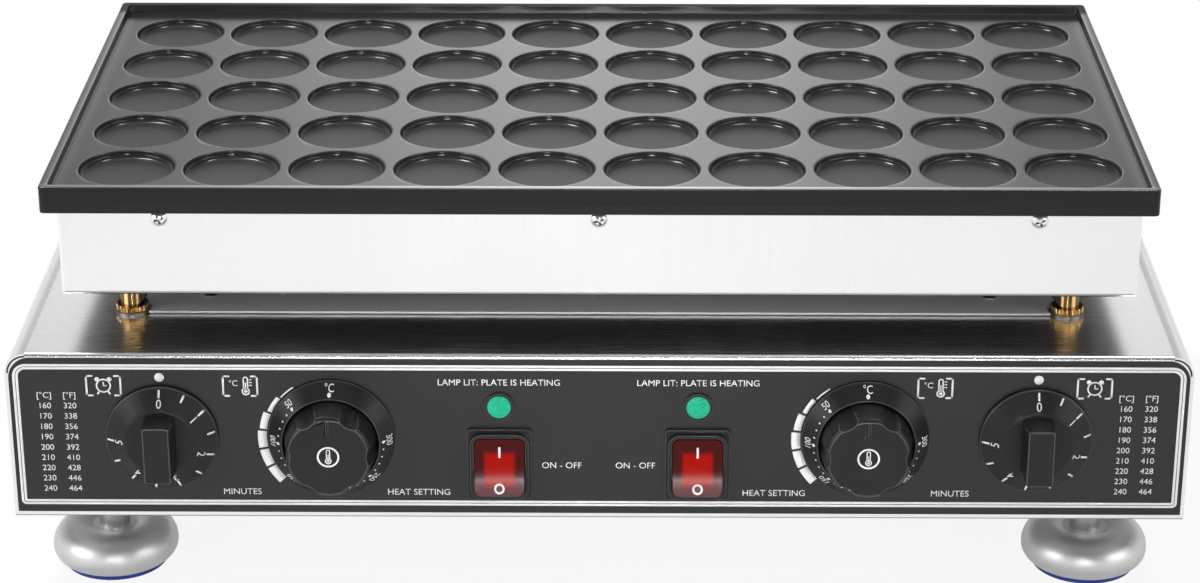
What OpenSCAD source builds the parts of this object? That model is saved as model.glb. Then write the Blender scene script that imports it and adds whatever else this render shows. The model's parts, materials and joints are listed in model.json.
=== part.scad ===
// Electric mini pancake maker: a cast baking plate with dished moulds on a heated head,
// carried by four brass standoffs over a folded steel control body on levelling feet.
// Millimetres. X runs to the right, Y to the back and Z up; the feet stand on Z = 0.

/* [Control body] */
// Width of the control body
body_w = 560; // [540:1:640]
// Depth of the control body
body_d = 306; // [290:1:360]
// Height of the control body
body_h = 85; // [80:1:100]
// Outer bend radius of the body's two long top edges
bend_r = 10; // [6:0.5:14]
// Radius of the fold between the top and the front
fold_r = 2; // [1.6:0.1:2.4]
// Thickness of the stainless sheet
sheet_t = 1; // [0.8:0.1:1.5]
// Width of the flanges that the panels are screwed to
flange_w = 14; // [12:1:18]
// Width of the slit round the front's top corners
slit_w = 0.8; // [0.5:0.1:1]
// Margin of bare steel beside the printed overlay
overlay_margin = 1.8; // [1.8:0.1:4]
// Margin of bare steel under the printed overlay
overlay_low_margin = 2.4; // [1:0.1:5]
// Corner radius of the overlay's top corners
overlay_r = 10.5; // [9:0.5:14]
// Thickness of the printed overlay
overlay_t = 0.4; // [0.2:0.1:0.8]

/* [Baking plate] */
// Moulds along the width
mould_cols = 10; // [8:1:12]
// Moulds along the depth
mould_rows = 5; // [4:1:6]
// Distance between mould centres
mould_pitch = 50; // [49:0.5:54]
// Mouth diameter of a mould
mould_dia = 45.6; // [40:0.2:47]
// Depth of a mould
mould_depth = 4; // [3.4:0.1:8]
// Fillet between a mould's wall and its floor
mould_fillet = 2.6; // [1.5:0.1:3.2]
// Chamfer at a mould's mouth
mould_edge = 0.5; // [0.2:0.1:0.8]
// Outer mould centres to the plate's left and right edges
plate_edge_x = 36; // [32:0.5:44]
// Outer mould centres to the plate's front and rear edges
plate_edge_y = 38; // [34:0.5:46]
// Height of the plate's visible band, rim included
lip_h = 13; // [11:0.5:18]
// Width of the rim
rim_w = 4; // [3:0.5:6]
// Height of the rim over the cooking surface
rim_rise = 4.5; // [3:0.1:6]
// Thickness of the casting under the cooking surface
deck_t = 12; // [10.5:0.5:16]
// Depth of the casting's skirt inside the housing
skirt_h = 14; // [12:0.5:18]
// Thickness of the casting's skirt
skirt_t = 9; // [7:0.5:12]

/* [Heated head] */
// Air gap between the control body and the head
head_gap = 20; // [16:0.5:30]
// Height of the head's housing walls
house_h = 45; // [43:0.5:60]
// Overhang of the plate past the housing's sides
house_inset_x = 6.5; // [4:0.5:10]
// Overhang of the plate past the housing's front and rear
house_inset_y = 8.5; // [4:0.5:12]
// Width of the housing's bottom flange
house_flange = 12; // [10:0.5:13]
// Outer bend radius of the housing's bottom edges
house_bend_r = 2.5; // [1.8:0.1:4]
// Distance of the front and rear housing screws from each other
house_screw_pitch = 206.5; // [180:0.5:220]
// Diameter of the tubular heaters
heater_dia = 8; // [6:0.5:9]
// Distance between the runs of a heater
heater_pitch = 56; // [50:1:60]
// Thickness of the insulation board on the head's floor
board_t = 10; // [6:0.5:12]

/* [Standoffs] */
// Diameter of the brass standoff tubes
standoff_dia = 11; // [9:0.5:12]
// Bore of the standoff tubes
standoff_bore = 7.5; // [5:0.5:8]
// Housing side to the standoff's axis
standoff_inset_x = 28.5; // [26:0.5:34]
// Housing front to the standoff's axis
standoff_inset_y = 28.5; // [26:0.5:34]
// Diameter of the knurled nuts
knurl_dia = 15.6; // [14.5:0.1:17]
// Height of the knurled nuts
knurl_h = 3; // [2.5:0.5:6]
// Diameter of the grey washers under the lower nuts
washer_dia = 16.6; // [15:0.1:18]
// Thickness of those washers
washer_t = 1.2; // [1:0.1:3]
// Thickness of the heat shield between the standoffs
shield_t = 1; // [0.8:0.1:2]
// Height of the heat shield's pressed feet
shield_rise = 0.5; // [0.3:0.1:4]

/* [Feet] */
// Height of a foot under the body
foot_h = 45; // [40:0.5:60]
// Body side to the foot's axis
foot_inset_x = 40; // [36:0.5:60]
// Body front or rear to the foot's axis
foot_inset_y = 43; // [36:0.5:60]
// Largest diameter of a foot's bell
foot_dia = 61.5; // [54:0.5:66]
// Height of the bell's widest place
foot_belly = 9.5; // [9.5:0.1:11]
// Upper curve radius of the bell
bell_r = 12.5; // [11.5:0.1:14]
// Lower curve radius of the bell
bell_low_r = 7.4; // [7.2:0.1:9]
// Depth of the dish in the bell's top, round the stem
bell_dish = 2.4; // [1:0.1:4]
// Diameter of the rubber pad
pad_dia = 50; // [42:0.5:51]
// Thickness of the rubber pad
pad_t = 2.4; // [1.5:0.1:3]
// Diameter of the foot's stem
stem_dia = 14.8; // [13:0.2:17]
// Diameter of the foot's screw
stud_dia = 10; // [8:0.5:12]
// Levelling travel of a foot
foot_travel = 8; // [4:0.5:10]

/* [Controls] */
// Height of the knobs' axes over the body's underside
knob_rise = 42.5; // [38:0.5:48]
// Timer axis to the middle
timer_x = 207; // [200:0.5:225]
// Thermostat axis to the middle
thermostat_x = 126.5; // [115:0.5:132]
// Lamp and switch axes to the middle
switch_x = 47; // [40:0.5:56]
// Height of the lamps over the body's underside
lamp_rise = 59; // [57:0.5:64]
// Height of the switches over the body's underside
switch_rise = 29; // [24:0.5:30]
// Diameter of the timer dials
timer_dial_dia = 53.6; // [48:0.2:56]
// Thickness of the conical timer dials at the middle
timer_dial_t = 7.4; // [6:0.1:9]
// Diameter of the flat middle of a timer dial
timer_hub_dia = 33; // [28:0.5:36]
// Reach of the timer grip from the overlay
timer_reach = 22.6; // [20:0.1:30]
// Width of the timer grip at its front
grip_w = 12.5; // [10:0.5:15]
// Length of the timer grip at its front
grip_l = 28.5; // [24:0.5:31]
// Diameter of the thermostat's fixed dial ring
ring_dia = 60.5; // [54:0.5:64]
// Thickness of that ring behind the knob
ring_t = 2.2; // [1.6:0.1:3]
// Height of the ring's conical collar round the knob
ring_h = 8.5; // [5:0.1:10]
// Diameter of the thermostat knob at its base
knob_dia = 45; // [44:0.5:48]
// Diameter of the thermostat knob at its front
knob_front_dia = 41; // [36:0.5:44]
// Height of the thermostat knob
knob_h = 20; // [16:0.5:24]
// Finger flutes round the thermostat knob
flute_n = 6; // [4:1:8]
// Diameter of the knob shafts
shaft_dia = 6; // [5:0.1:8]
// Diameter of a lamp's bezel
lamp_bezel_dia = 14; // [12:0.2:16]
// Diameter of a lamp's lens
lamp_lens_dia = 11; // [9:0.2:11.4]
// Width of a switch's bezel
switch_w = 31; // [29:0.5:34]
// Height of a switch's bezel
switch_h = 37; // [35:0.5:38]
// Height of the collar round a rocker over the overlay
switch_collar_h = 5; // [3.5:0.1:6]
// Swing of a rocker between its two ends, in degrees
rocker_swing = 24; // [16:1:24]

/* [Rear] */
// Cable gland axis to the middle
gland_x = 200; // [120:1:230]
// Height of the cable gland over the body's underside
gland_rise = 32; // [24:0.5:50]
// Bore of the cable gland
gland_bore = 8; // [6:0.5:10]
// Reach of the cable gland behind the rear panel
gland_reach = 17.5; // [17:0.5:26]

/* [Hidden] */
$fn = 64;

// Clearances: running fit on the radius, seat under a piece, panel edge, drilled hole on the radius
fit = 0.05;
seat = 0.1;
edge_gap = 0.3;
hole_gap = 0.2;
// Overshoot of cutting shapes
over = 1;

// Levels
base_z = foot_h;
top_z = base_z + body_h;
house_z = top_z + head_gap;
lip_z = house_z + house_h;
rim_z = lip_z + lip_h;
deck_z = rim_z - rim_rise;
deck_low_z = deck_z - deck_t;
floor_z = house_z + sheet_t;

// Plan sizes of the plate and the housing
plate_w = (mould_cols - 1) * mould_pitch + 2 * plate_edge_x;
plate_d = (mould_rows - 1) * mould_pitch + 2 * plate_edge_y;
plate_r = 2;
house_w = plate_w - 2 * house_inset_x;
house_d = plate_d - 2 * house_inset_y;
house_r = 2;
inside_w = house_w - 2 * sheet_t - 2 * edge_gap;
inside_d = house_d - 2 * sheet_t - 2 * edge_gap;
floor_w = house_w - 2 * house_bend_r - 2 * edge_gap;
floor_d = house_d - 2 * house_bend_r - 2 * edge_gap;
standoff_x = house_w / 2 - standoff_inset_x;
standoff_y = house_d / 2 - standoff_inset_y;

// The control body stands so that the knobs in front and the gland behind reach equally far
knob_air = 1;
knob_lift = overlay_t + ring_t + knob_air / 2;
knob_front = knob_lift + knob_h;
pointer_h = 0.4;
front_reach = max(overlay_t + timer_reach, knob_front + pointer_h);
body_y = (front_reach - gland_reach) / 2;
front_y = -body_d / 2;
rear_y = body_d / 2;
foot_x = body_w / 2 - foot_inset_x;
foot_y = body_d / 2 - foot_inset_y;

// Pan-head screws
screw_dia = 4;
head_dia = 7.6;
head_h = 2.4;
head_round = 5;
screw_bite = 2.5;
house_screw_head = 8;
house_screw_drop = 5.5;
house_screw_bite = 7;
cross_w = 1.1;
cross_l = 4.6;
cross_depth = 1.3;
cross_turn = 20;
base_screw_pitch_x = 150;
base_screw_pitch_y = 80;
rear_screw_pitch = 180;
rear_screw_rise = 35;
floor_screw_pitch = 150;
shield_screw_x = 190;
shield_screw_y = 85;
shield_foot_dia = 13;

// Heater fixings under the plate
heater_end_x = 26;
heater_far_x = 236;
heater_turn_x = 60;
heater_pin_dia = 4;
heater_pin_l = 12;
clamp_xs = [85, 180];
clamp_w = 16;
clamp_t = 4;
clamp_over = 8;
boss_dia = 14;
boss_h = heater_dia + 2 * seat;
bolt_dia = 6;
bolt_head_dia = 11.5;
bolt_head_h = 4;
bolt_bite = 6;
clamp_top_z = deck_low_z - boss_h;
bulb_dia = 6;
bulb_from_x = 100;
bulb_to_x = 160;
bulb_z = deck_low_z - bulb_dia / 2 - seat;
clip_w = 10;
clip_t = 1.2;
clip_ear = 9;
clip_x = 130;

// Standoff nuts inside both housings
locknut_dia = 18;
locknut_h = 5;
thread_spare = 3;
knurl_n = 36;
knurl_groove = 0.55;
washer_gap = 1.2;
shield_over = 4.5;
shield_side = 5;

// Insulation board, clear of the standoffs' lock nuts
board_gap = 10;

// Controls behind and on the panel, drawn with +Z out of the panel
timer_case_w = 48;
timer_case_d = 32;
thermostat_case_w = 40;
thermostat_case_d = 28;
case_r = 5;
neck_dia = 10;
neck_out = 0.8;
shaft_in = 14;
shaft_flat = 1;
control_screw_pitch = 28;
control_head_h = 1.8;
control_head_dia = 6.6;
control_bite = 6;
head_air = 0.6;
knob_floor = 4;
dial_recess_dia = 44;
dial_recess_h = control_head_h - knob_air + head_air;
dial_edge_t = 1.4;
grip_draft = 1.4;
grip_r = 3;
knob_recess_dia = 36;
knob_recess_h = control_head_h - knob_air / 2 + head_air;
knob_dish_r = 55;
knob_dish_h = 1.1;
knob_round = 1.5;
flute_r = 9;
flute_depth = 2.4;
flute_share = 1.08;
pointer_w = 1.6;
pointer_l = 7;
pointer_inset = 0.2;
ring_edge_t = 1.6;
ring_gap = 0.4;
ring_rim = 0.4;

// Lamps
lamp_barrel_dia = 11.8;
lamp_barrel_l = 24;
lamp_bezel_h = 1.4;
lamp_seat_depth = 3;
lamp_dome_h = 2;

// Rocker switches
switch_r = 2.5;
switch_bezel_h = 2;
switch_barrel_l = 26;
collar_inset = 1.5;
collar_r = 5.6;
collar_wall = 1.8;
rocker_side_gap = 0.4;
rocker_air = 0.3;
rocker_well = 8.5;
rocker_back = 5.5;
rocker_middle = 3.3;
rocker_hollow_r = 40;
rocker_corner_r = 3.6;
trunnion_dia = 3.6;
trunnion_l = 1;

// Vents
vent_w = 4;
vent_l = 40;
vent_pitch = 10;
vent_n = 9;
vent_x = 120;
vent_r = vent_w / 2 - 0.01;
rear_vent_l = 28;

// Foot seat and nut
foot_nut_dia = 19.6;
foot_nut_h = 8;
stud_spare = 2;

// Terminal block on the base plate, in front of the rear feet's nuts
block_w = 58;
block_d = 20;
block_h = 18;
block_wells = 5;
block_well_dia = 7;
block_gap = 3;
block_y = foot_inset_y + foot_nut_dia / 2 + block_gap + block_d / 2;

// Thread holes and gland
gland_thread_dia = 16;
gland_thread_l = 12;
gland_hex_dia = 27;
gland_hex_h = 5;
gland_cap_dia = 22;
gland_nose_dia = 13;
gland_nose_h = 6;
gland_nut_h = 5;

// Route of a sensor's capillary on the right, from its bulb down a standoff to the thermostat
capillary_dia = 2;
capillary_sides = 8;
capillary_exit_z = base_z + knob_rise + 10;
capillary_end_y = front_y + sheet_t + thermostat_case_d + seat;
capillary_route = [
    [bulb_to_x - 3, 0, bulb_z],
    [bulb_to_x + 5, 0, bulb_z],
    [bulb_to_x + 8, -4, clamp_top_z - 12],
    [standoff_x - 30, 12 - standoff_y, clamp_top_z - 12],
    [standoff_x - 4, 2 - standoff_y, clamp_top_z - 11],
    [standoff_x, -standoff_y, clamp_top_z - 16],
    [standoff_x, -standoff_y, clamp_top_z - 22],
    [standoff_x, -standoff_y, top_z - 14],
    [standoff_x, -standoff_y, top_z - 22],
    [standoff_x - 8, 4 - standoff_y, capillary_exit_z],
    [thermostat_x + 14, capillary_end_y + 22, capillary_exit_z],
    [thermostat_x, capillary_end_y + 20, capillary_exit_z],
    [thermostat_x, capillary_end_y + 6, capillary_exit_z],
    [thermostat_x, capillary_end_y, capillary_exit_z],
];

// Corner cutting: each inner corner of a route becomes two points, a quarter along each leg
function cut_corners(p, times) = times == 0 ? p : cut_corners(concat(
    [p[0]],
    [for (i = [1:len(p) - 2]) each [
        p[i] + (p[i - 1] - p[i]) / 4,
        p[i] + (p[i + 1] - p[i]) / 4,
    ]],
    [p[len(p) - 1]]), times - 1);
function unit(v) = v / norm(v);
// Direction of a route at a point
function heading(p, i) = unit(p[min(i + 1, len(p) - 1)] - p[max(i - 1, 0)]);
// Sideways vectors carried along a route with no twist
function sideways(p, i = 0, found = []) = i == len(p) ? found :
    let (h = heading(p, i), was = i == 0 ? [0, 0.6, 0.8] : found[i - 1])
    sideways(p, i + 1, concat(found, [unit(was - (was * h) * h)]));

// A tube swept along a route as one closed solid
module swept_tube(route, dia, sides) {
    side = sideways(route);
    rings = len(route);
    points = [for (i = [0:rings - 1]) let (h = heading(route, i), s = side[i], c = cross(h, s))
        for (k = [0:sides - 1]) route[i] + dia / 2 * (cos(360 * k / sides) * s
            + sin(360 * k / sides) * c)];
    skin = [for (i = [0:rings - 2], k = [0:sides - 1]) let (n = (k + 1) % sides)
        each [[i * sides + k, (i + 1) * sides + k, (i + 1) * sides + n],
              [i * sides + k, (i + 1) * sides + n, i * sides + n]]];
    caps = [for (k = [1:sides - 2])
        each [[0, k, k + 1],
              [(rings - 1) * sides, (rings - 1) * sides + k + 1, (rings - 1) * sides + k]]];
    polyhedron(points = points, faces = concat(skin, caps));
}

// Flat rectangle with four round corners, centred
module round_rect(w, d, r) {
    square([w - 2 * r, d], center = true);
    square([w, d - 2 * r], center = true);
    for (x = [-1, 1], y = [-1, 1]) translate([x * (w / 2 - r), y * (d / 2 - r)]) circle(r);
}

// Plate with round corners from one level to another
module round_slab(w, d, r, z0, z1) {
    translate([0, 0, z0]) linear_extrude(z1 - z0) round_rect(w, d, r);
}

// Body outline seen from the front, inset by a margin, with the two top corners round
module front_outline(inset, low_inset, top_inset, r) {
    half = body_w / 2 - inset;
    low = base_z + low_inset;
    high = top_z - top_inset;
    translate([-half, low]) square([2 * half, high - low - r]);
    translate([-half + r, low]) square([2 * half - 2 * r, high - low]);
    for (s = [-1, 1]) translate([s * (half - r), high - r]) circle(r);
}

// Stands a front outline up: flat Y becomes Z, and the extrusion runs from y0 to y1
module upright(y0, y1) {
    translate([0, y1, 0]) rotate([90, 0, 0]) linear_extrude(y1 - y0) children();
}

// Pan-head screw seated on Z = 0 with its shank downwards
module pan_screw(dia, head, high, reach) {
    translate([0, 0, -reach]) cylinder(d = dia, h = reach + high / 4);
    intersection() {
        cylinder(d = head, h = high);
        translate([0, 0, high - head_round]) sphere(head_round);
    }
}

// Frames for pieces on the front panel, on the rear panel and on the body as a whole
module at_body() { translate([0, body_y, 0]) children(); }
module on_front(x, rise) {
    at_body() translate([x, front_y, base_z + rise]) rotate([90, 0, 0]) children();
}
module on_rear(x, rise) {
    at_body() translate([x, rear_y, base_z + rise]) rotate([-90, 0, 0]) children();
}
module at_standoffs() {
    at_body() for (x = [-1, 1], y = [-1, 1]) translate([x * standoff_x, y * standoff_y, 0]) children();
}
module at_feet() {
    at_body() for (x = [-1, 1], y = [-1, 1]) translate([x * foot_x, y * foot_y, 0]) children();
}

// Places of the screws: housing wall, housing floor, base plate, rear panel, heat shield
module at_house_screws() {
    for (s = [-1, 1], i = [-1:1])
        translate([i * house_screw_pitch, s * house_d / 2, lip_z - house_screw_drop])
            rotate([-s * 90, 0, 0]) children();
}
module at_floor_screws() {
    for (s = [-1, 1], i = [-1:1])
        translate([i * floor_screw_pitch, s * (house_d / 2 - sheet_t - house_flange / 2), house_z])
            rotate([180, 0, 0]) children();
}
module at_base_screws() {
    for (s = [-1, 1], i = [-1:1])
        translate([s * (body_w / 2 - sheet_t - flange_w / 2), i * base_screw_pitch_y, base_z])
            rotate([180, 0, 0]) children();
    for (i = [-1:1])
        translate([i * base_screw_pitch_x, front_y + sheet_t + flange_w / 2, base_z])
            rotate([180, 0, 0]) children();
}
module at_rear_screws() {
    for (i = [-1:1])
        translate([i * rear_screw_pitch, rear_y, top_z - sheet_t - flange_w / 2])
            rotate([-90, 0, 0]) children();
    for (s = [-1, 1])
        translate([s * (body_w / 2 - sheet_t - flange_w / 2), rear_y, base_z + rear_screw_rise])
            rotate([-90, 0, 0]) children();
}
module at_shield_screws() {
    for (x = [-1, 1], y = [-1, 1])
        translate([x * shield_screw_x, y * shield_screw_y, top_z + shield_rise + shield_t]) children();
}
// Baking plate

// Half section of one mould below the cooking surface
module mould_section() {
    r = mould_dia / 2;
    wall = mould_depth - mould_fillet;
    head = rim_rise + over;
    translate([0, -mould_depth]) square([r - mould_fillet, mould_depth + head]);
    translate([0, -wall]) square([r, wall + head]);
    translate([r - mould_fillet, -wall]) circle(mould_fillet);
    polygon([[r - over, -mould_edge - over], [r + mould_edge, 0], [r + mould_edge, head], [r - over, head]]);
}

module at_clamp_bolts() {
    for (s = [-1, 1], x = clamp_xs, y = [-1, 1]) translate([s * x, y * heater_pitch, 0]) children();
}

module baking_plate() {
    color([0.2, 0.2, 0.21]) at_body() difference() {
        union() {
            difference() {
                union() {
                    round_slab(plate_w, plate_d, plate_r, lip_z, rim_z);
                    round_slab(inside_w, inside_d, house_r, lip_z - skirt_h, lip_z);
                }
                round_slab(inside_w - 2 * skirt_t, inside_d - 2 * skirt_t, house_r,
                    lip_z - skirt_h - over, deck_low_z);
            }
            at_clamp_bolts() translate([0, 0, clamp_top_z]) cylinder(d = boss_dia, h = boss_h);
        }
        round_slab(plate_w - 2 * rim_w, plate_d - 2 * rim_w, plate_r, deck_z, rim_z + over);
        for (i = [0:mould_cols - 1], j = [0:mould_rows - 1])
            translate([
                (i - (mould_cols - 1) / 2) * mould_pitch,
                (j - (mould_rows - 1) / 2) * mould_pitch,
                deck_z,
            ]) rotate_extrude() mould_section();
        at_house_screws() cylinder(d = screw_dia, h = 2 * (sheet_t + house_screw_bite), center = true);
        at_clamp_bolts() translate([0, 0, clamp_top_z - over])
            cylinder(d = bolt_dia, h = bolt_bite + 2 * over);
    }
}

// Head housing and what it holds

// Side of the housing with its two bottom edges bent round
module bent_outline(w, low, high, r) {
    translate([-w / 2, low + r]) square([w, high - low - r]);
    translate([-w / 2 + r, low]) square([w - 2 * r, high - low]);
    for (s = [-1, 1]) translate([s * (w / 2 - r), low + r]) circle(r);
}

// Box with round upright corners and round bottom edges
module bent_box(w, d, corner_r, low, high, r) {
    intersection() {
        round_slab(w, d, corner_r, low - over, high + over);
        upright(-d, d) bent_outline(w, low, high, r);
        rotate(90) upright(-w, w) bent_outline(d, low, high, r);
    }
}

module upper_housing() {
    inner_w = house_w - 2 * sheet_t;
    inner_d = house_d - 2 * sheet_t;
    hole_dia = screw_dia + 2 * hole_gap;
    color("gainsboro") at_body() difference() {
        bent_box(house_w, house_d, house_r, house_z, lip_z, house_bend_r);
        bent_box(inner_w, inner_d, house_r - sheet_t, floor_z, lip_z + over, house_bend_r - sheet_t);
        round_slab(inner_w - 2 * house_flange, inner_d - 2 * house_flange, house_r,
            house_z - over, floor_z + over);
        at_house_screws() cylinder(d = hole_dia, h = 6 * sheet_t, center = true);
        at_floor_screws() cylinder(d = hole_dia, h = 4 * sheet_t, center = true);
    }
}

module housing_floor() {
    color("silver") difference() {
        at_body() round_slab(floor_w, floor_d, house_r, floor_z, floor_z + sheet_t);
        at_standoffs() translate([0, 0, floor_z - over])
            cylinder(d = standoff_dia + 2 * fit, h = sheet_t + 2 * over);
        at_body() at_floor_screws() cylinder(d = screw_dia, h = 6 * sheet_t, center = true);
    }
}

module housing_screws() {
    color("silver") at_body() at_house_screws() difference() {
        pan_screw(screw_dia - 2 * fit, house_screw_head, head_h, sheet_t + house_screw_bite - seat);
        for (a = [0, 90]) rotate(a + cross_turn)
            translate([-cross_l / 2, -cross_w / 2, head_h - cross_depth])
                cube([cross_l, cross_w, cross_depth + over]);
    }
}

// One serpentine heater on the right: four straight runs, three turns and two terminal pins
module heater() {
    z = deck_low_z - heater_dia / 2 - seat;
    turn = heater_pitch / 2;
    far = heater_far_x - turn - heater_dia / 2;
    module run(i, x0, x1) {
        translate([x0, (i - 1.5) * heater_pitch, z]) rotate([0, 90, 0])
            cylinder(d = heater_dia, h = x1 - x0);
    }
    module turn_at(x, y, from) {
        translate([x, y, z]) rotate(from) rotate_extrude(angle = 180)
            translate([turn, 0]) circle(d = heater_dia);
    }
    run(0, heater_end_x, far);
    run(1, heater_turn_x, far);
    run(2, heater_turn_x, far);
    run(3, heater_end_x, far);
    for (s = [-1, 1]) {
        turn_at(far, s * heater_pitch, -90);
        translate([heater_end_x - heater_pin_l, s * 1.5 * heater_pitch, z]) rotate([0, 90, 0])
            cylinder(d = heater_pin_dia, h = heater_pin_l + over);
    }
    turn_at(heater_turn_x, 0, 90);
}
module heater_left() { color("dimgray") at_body() mirror([1, 0, 0]) heater(); }
module heater_right() { color("dimgray") at_body() heater(); }

module heater_clamps() {
    bar_d = 3 * heater_pitch + 2 * clamp_over;
    color("silver") at_body() difference() {
        for (s = [-1, 1], x = clamp_xs)
            translate([s * x - clamp_w / 2, -bar_d / 2, clamp_top_z - clamp_t])
                cube([clamp_w, bar_d, clamp_t]);
        at_clamp_bolts() translate([0, 0, clamp_top_z - clamp_t - over])
            cylinder(d = bolt_dia + 2 * hole_gap, h = clamp_t + 2 * over);
    }
}

module clamp_bolts() {
    color("gray") at_body() at_clamp_bolts() translate([0, 0, clamp_top_z - clamp_t]) {
        translate([0, 0, -bolt_head_h]) cylinder(d = bolt_head_dia, h = bolt_head_h, $fn = 6);
        translate([0, 0, -over]) cylinder(d = bolt_dia - 2 * fit, h = clamp_t + bolt_bite + over);
    }
}

// Sensing bulb under the plate with its capillary, on the right
module sensor() {
    translate([bulb_from_x, 0, bulb_z]) rotate([0, 90, 0])
        cylinder(d = bulb_dia, h = bulb_to_x - bulb_from_x);
    swept_tube(cut_corners(capillary_route, 2), capillary_dia, capillary_sides);
}
module sensor_left() { color("peru") at_body() mirror([1, 0, 0]) sensor(); }
module sensor_right() { color("peru") at_body() sensor(); }

// Saddle clips that hold the bulbs up against the plate
module bulb_clips() {
    wrap = bulb_dia + 2 * seat + 2 * clip_t;
    span = wrap + 2 * clip_ear;
    color("silver") at_body() for (s = [-1, 1])
        translate([s * clip_x - clip_w / 2, 0, bulb_z]) rotate([90, 0, 90])
            linear_extrude(clip_w) difference() {
                union() {
                    circle(d = wrap);
                    translate([-wrap / 2, 0]) square([wrap, bulb_dia / 2 + seat]);
                    translate([-span / 2, bulb_dia / 2 + seat - clip_t]) square([span, clip_t]);
                }
                circle(d = bulb_dia + 2 * seat);
                translate([-bulb_dia / 2 - seat, 0]) square([bulb_dia + 2 * seat, bulb_dia]);
                translate([-span, bulb_dia / 2 + seat]) square([2 * span, bulb_dia]);
            }
}

module insulation_board() {
    board_w = 2 * (standoff_x - locknut_dia / 2 - board_gap);
    board_d = inside_d - 2 * standoff_inset_y;
    color("ivory") at_body() translate([0, 0, floor_z + sheet_t])
        linear_extrude(board_t) square([board_w, board_d], center = true);
}

// Standoffs between the body and the head

standoff_low_z = top_z - sheet_t - locknut_h - thread_spare;
standoff_high_z = floor_z + sheet_t + locknut_h + thread_spare;

module standoffs() {
    color("goldenrod") at_standoffs() translate([0, 0, standoff_low_z]) difference() {
        cylinder(d = standoff_dia, h = standoff_high_z - standoff_low_z);
        translate([0, 0, -over]) cylinder(d = standoff_bore, h = standoff_high_z - standoff_low_z + 2 * over);
    }
}

module knurled_nut() {
    linear_extrude(knurl_h) difference() {
        circle(d = knurl_dia);
        circle(d = standoff_dia + 2 * fit);
        for (i = [0:knurl_n - 1]) rotate(360 * i / knurl_n)
            translate([knurl_dia / 2, 0]) circle(knurl_groove, $fn = 4);
    }
}

module standoff_nuts() {
    color("goldenrod") at_standoffs() {
        translate([0, 0, top_z + washer_t]) knurled_nut();
        translate([0, 0, floor_z - knurl_h]) knurled_nut();
    }
}

module standoff_washers() {
    color("gray") at_standoffs() translate([0, 0, top_z]) linear_extrude(washer_t) difference() {
        circle(d = washer_dia);
        circle(d = standoff_dia + 2 * hole_gap);
    }
}

module standoff_locknuts() {
    module locknut() {
        difference() {
            cylinder(d = locknut_dia, h = locknut_h, $fn = 6);
            translate([0, 0, -over]) cylinder(d = standoff_dia + 2 * fit, h = locknut_h + 2 * over);
        }
    }
    color("goldenrod") at_standoffs() {
        translate([0, 0, top_z - sheet_t - locknut_h]) locknut();
        translate([0, 0, floor_z + sheet_t]) locknut();
    }
}

// Flat shield between the standoffs, notched round their washers and raised on four pressed feet
module heat_shield() {
    half_w = standoff_x - shield_side;
    half_d = standoff_y + shield_over;
    color("silver") at_body() difference() {
        union() {
            translate([0, 0, top_z + shield_rise]) linear_extrude(shield_t) difference() {
                square([2 * half_w, 2 * half_d], center = true);
                for (x = [-1, 1], y = [-1, 1]) translate([x * standoff_x, y * standoff_y])
                    circle(d = washer_dia + 2 * washer_gap);
            }
            at_shield_screws() translate([0, 0, -shield_t - shield_rise])
                cylinder(d = shield_foot_dia, h = shield_rise + shield_t);
        }
        at_shield_screws()
            cylinder(d = screw_dia + 2 * hole_gap, h = 4 * (shield_t + shield_rise), center = true);
    }
}

// Control body

// Front, top and both sides folded from one sheet, with flanges for the panels
module cover_shell() {
    half_t = sheet_t / 2;
    low_z = base_z + sheet_t;
    wide = body_w - sheet_t;
    upright(front_y, rear_y) difference() {
        front_outline(0, 0, 0, bend_r);
        front_outline(sheet_t, -over, sheet_t, bend_r - sheet_t);
    }
    upright(front_y, front_y + sheet_t) front_outline(0, 0, 0, bend_r);
    translate([-wide / 2, front_y + half_t, low_z]) cube([wide, half_t + flange_w, sheet_t]);
    for (s = [0, 1]) mirror([s, 0, 0]) translate([wide / 2 - half_t - flange_w, front_y + half_t, low_z])
        cube([half_t + flange_w, body_d - 2 * sheet_t, sheet_t]);
    upright(rear_y - 2 * sheet_t, rear_y - sheet_t) difference() {
        front_outline(half_t, sheet_t, half_t, bend_r - half_t);
        front_outline(sheet_t + flange_w, -over, sheet_t + flange_w, bend_r - sheet_t);
    }
}

// Slit between the rounded wrap and the front at one top corner
module corner_slit() {
    outer = bend_r - sheet_t;
    translate([body_w / 2 - bend_r, top_z - bend_r]) intersection() {
        difference() {
            circle(outer);
            circle(outer - slit_w);
        }
        square(bend_r);
    }
}

module lower_cover() {
    color("lightgray") difference() {
        at_body() difference() {
            cover_shell();
            for (s = [0, 1]) mirror([s, 0, 0])
                upright(front_y - over, front_y + sheet_t + over) corner_slit();
            translate([-(body_w / 2 - bend_r), front_y, top_z]) rotate([90, 0, 90])
                linear_extrude(body_w - 2 * bend_r) difference() {
                    translate([-over, -fold_r]) square(fold_r + over);
                    translate([fold_r, -fold_r]) circle(fold_r);
                }
            at_base_screws() cylinder(d = screw_dia, h = 6 * sheet_t, center = true);
            at_rear_screws() cylinder(d = screw_dia, h = 6 * sheet_t, center = true);
            at_shield_screws() cylinder(d = screw_dia, h = 4 * (shield_t + shield_rise), center = true);
        }
        at_standoffs() translate([0, 0, top_z - sheet_t - over])
            cylinder(d = standoff_dia + 2 * fit, h = sheet_t + 2 * over);
        panel_cuts();
    }
}

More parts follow.
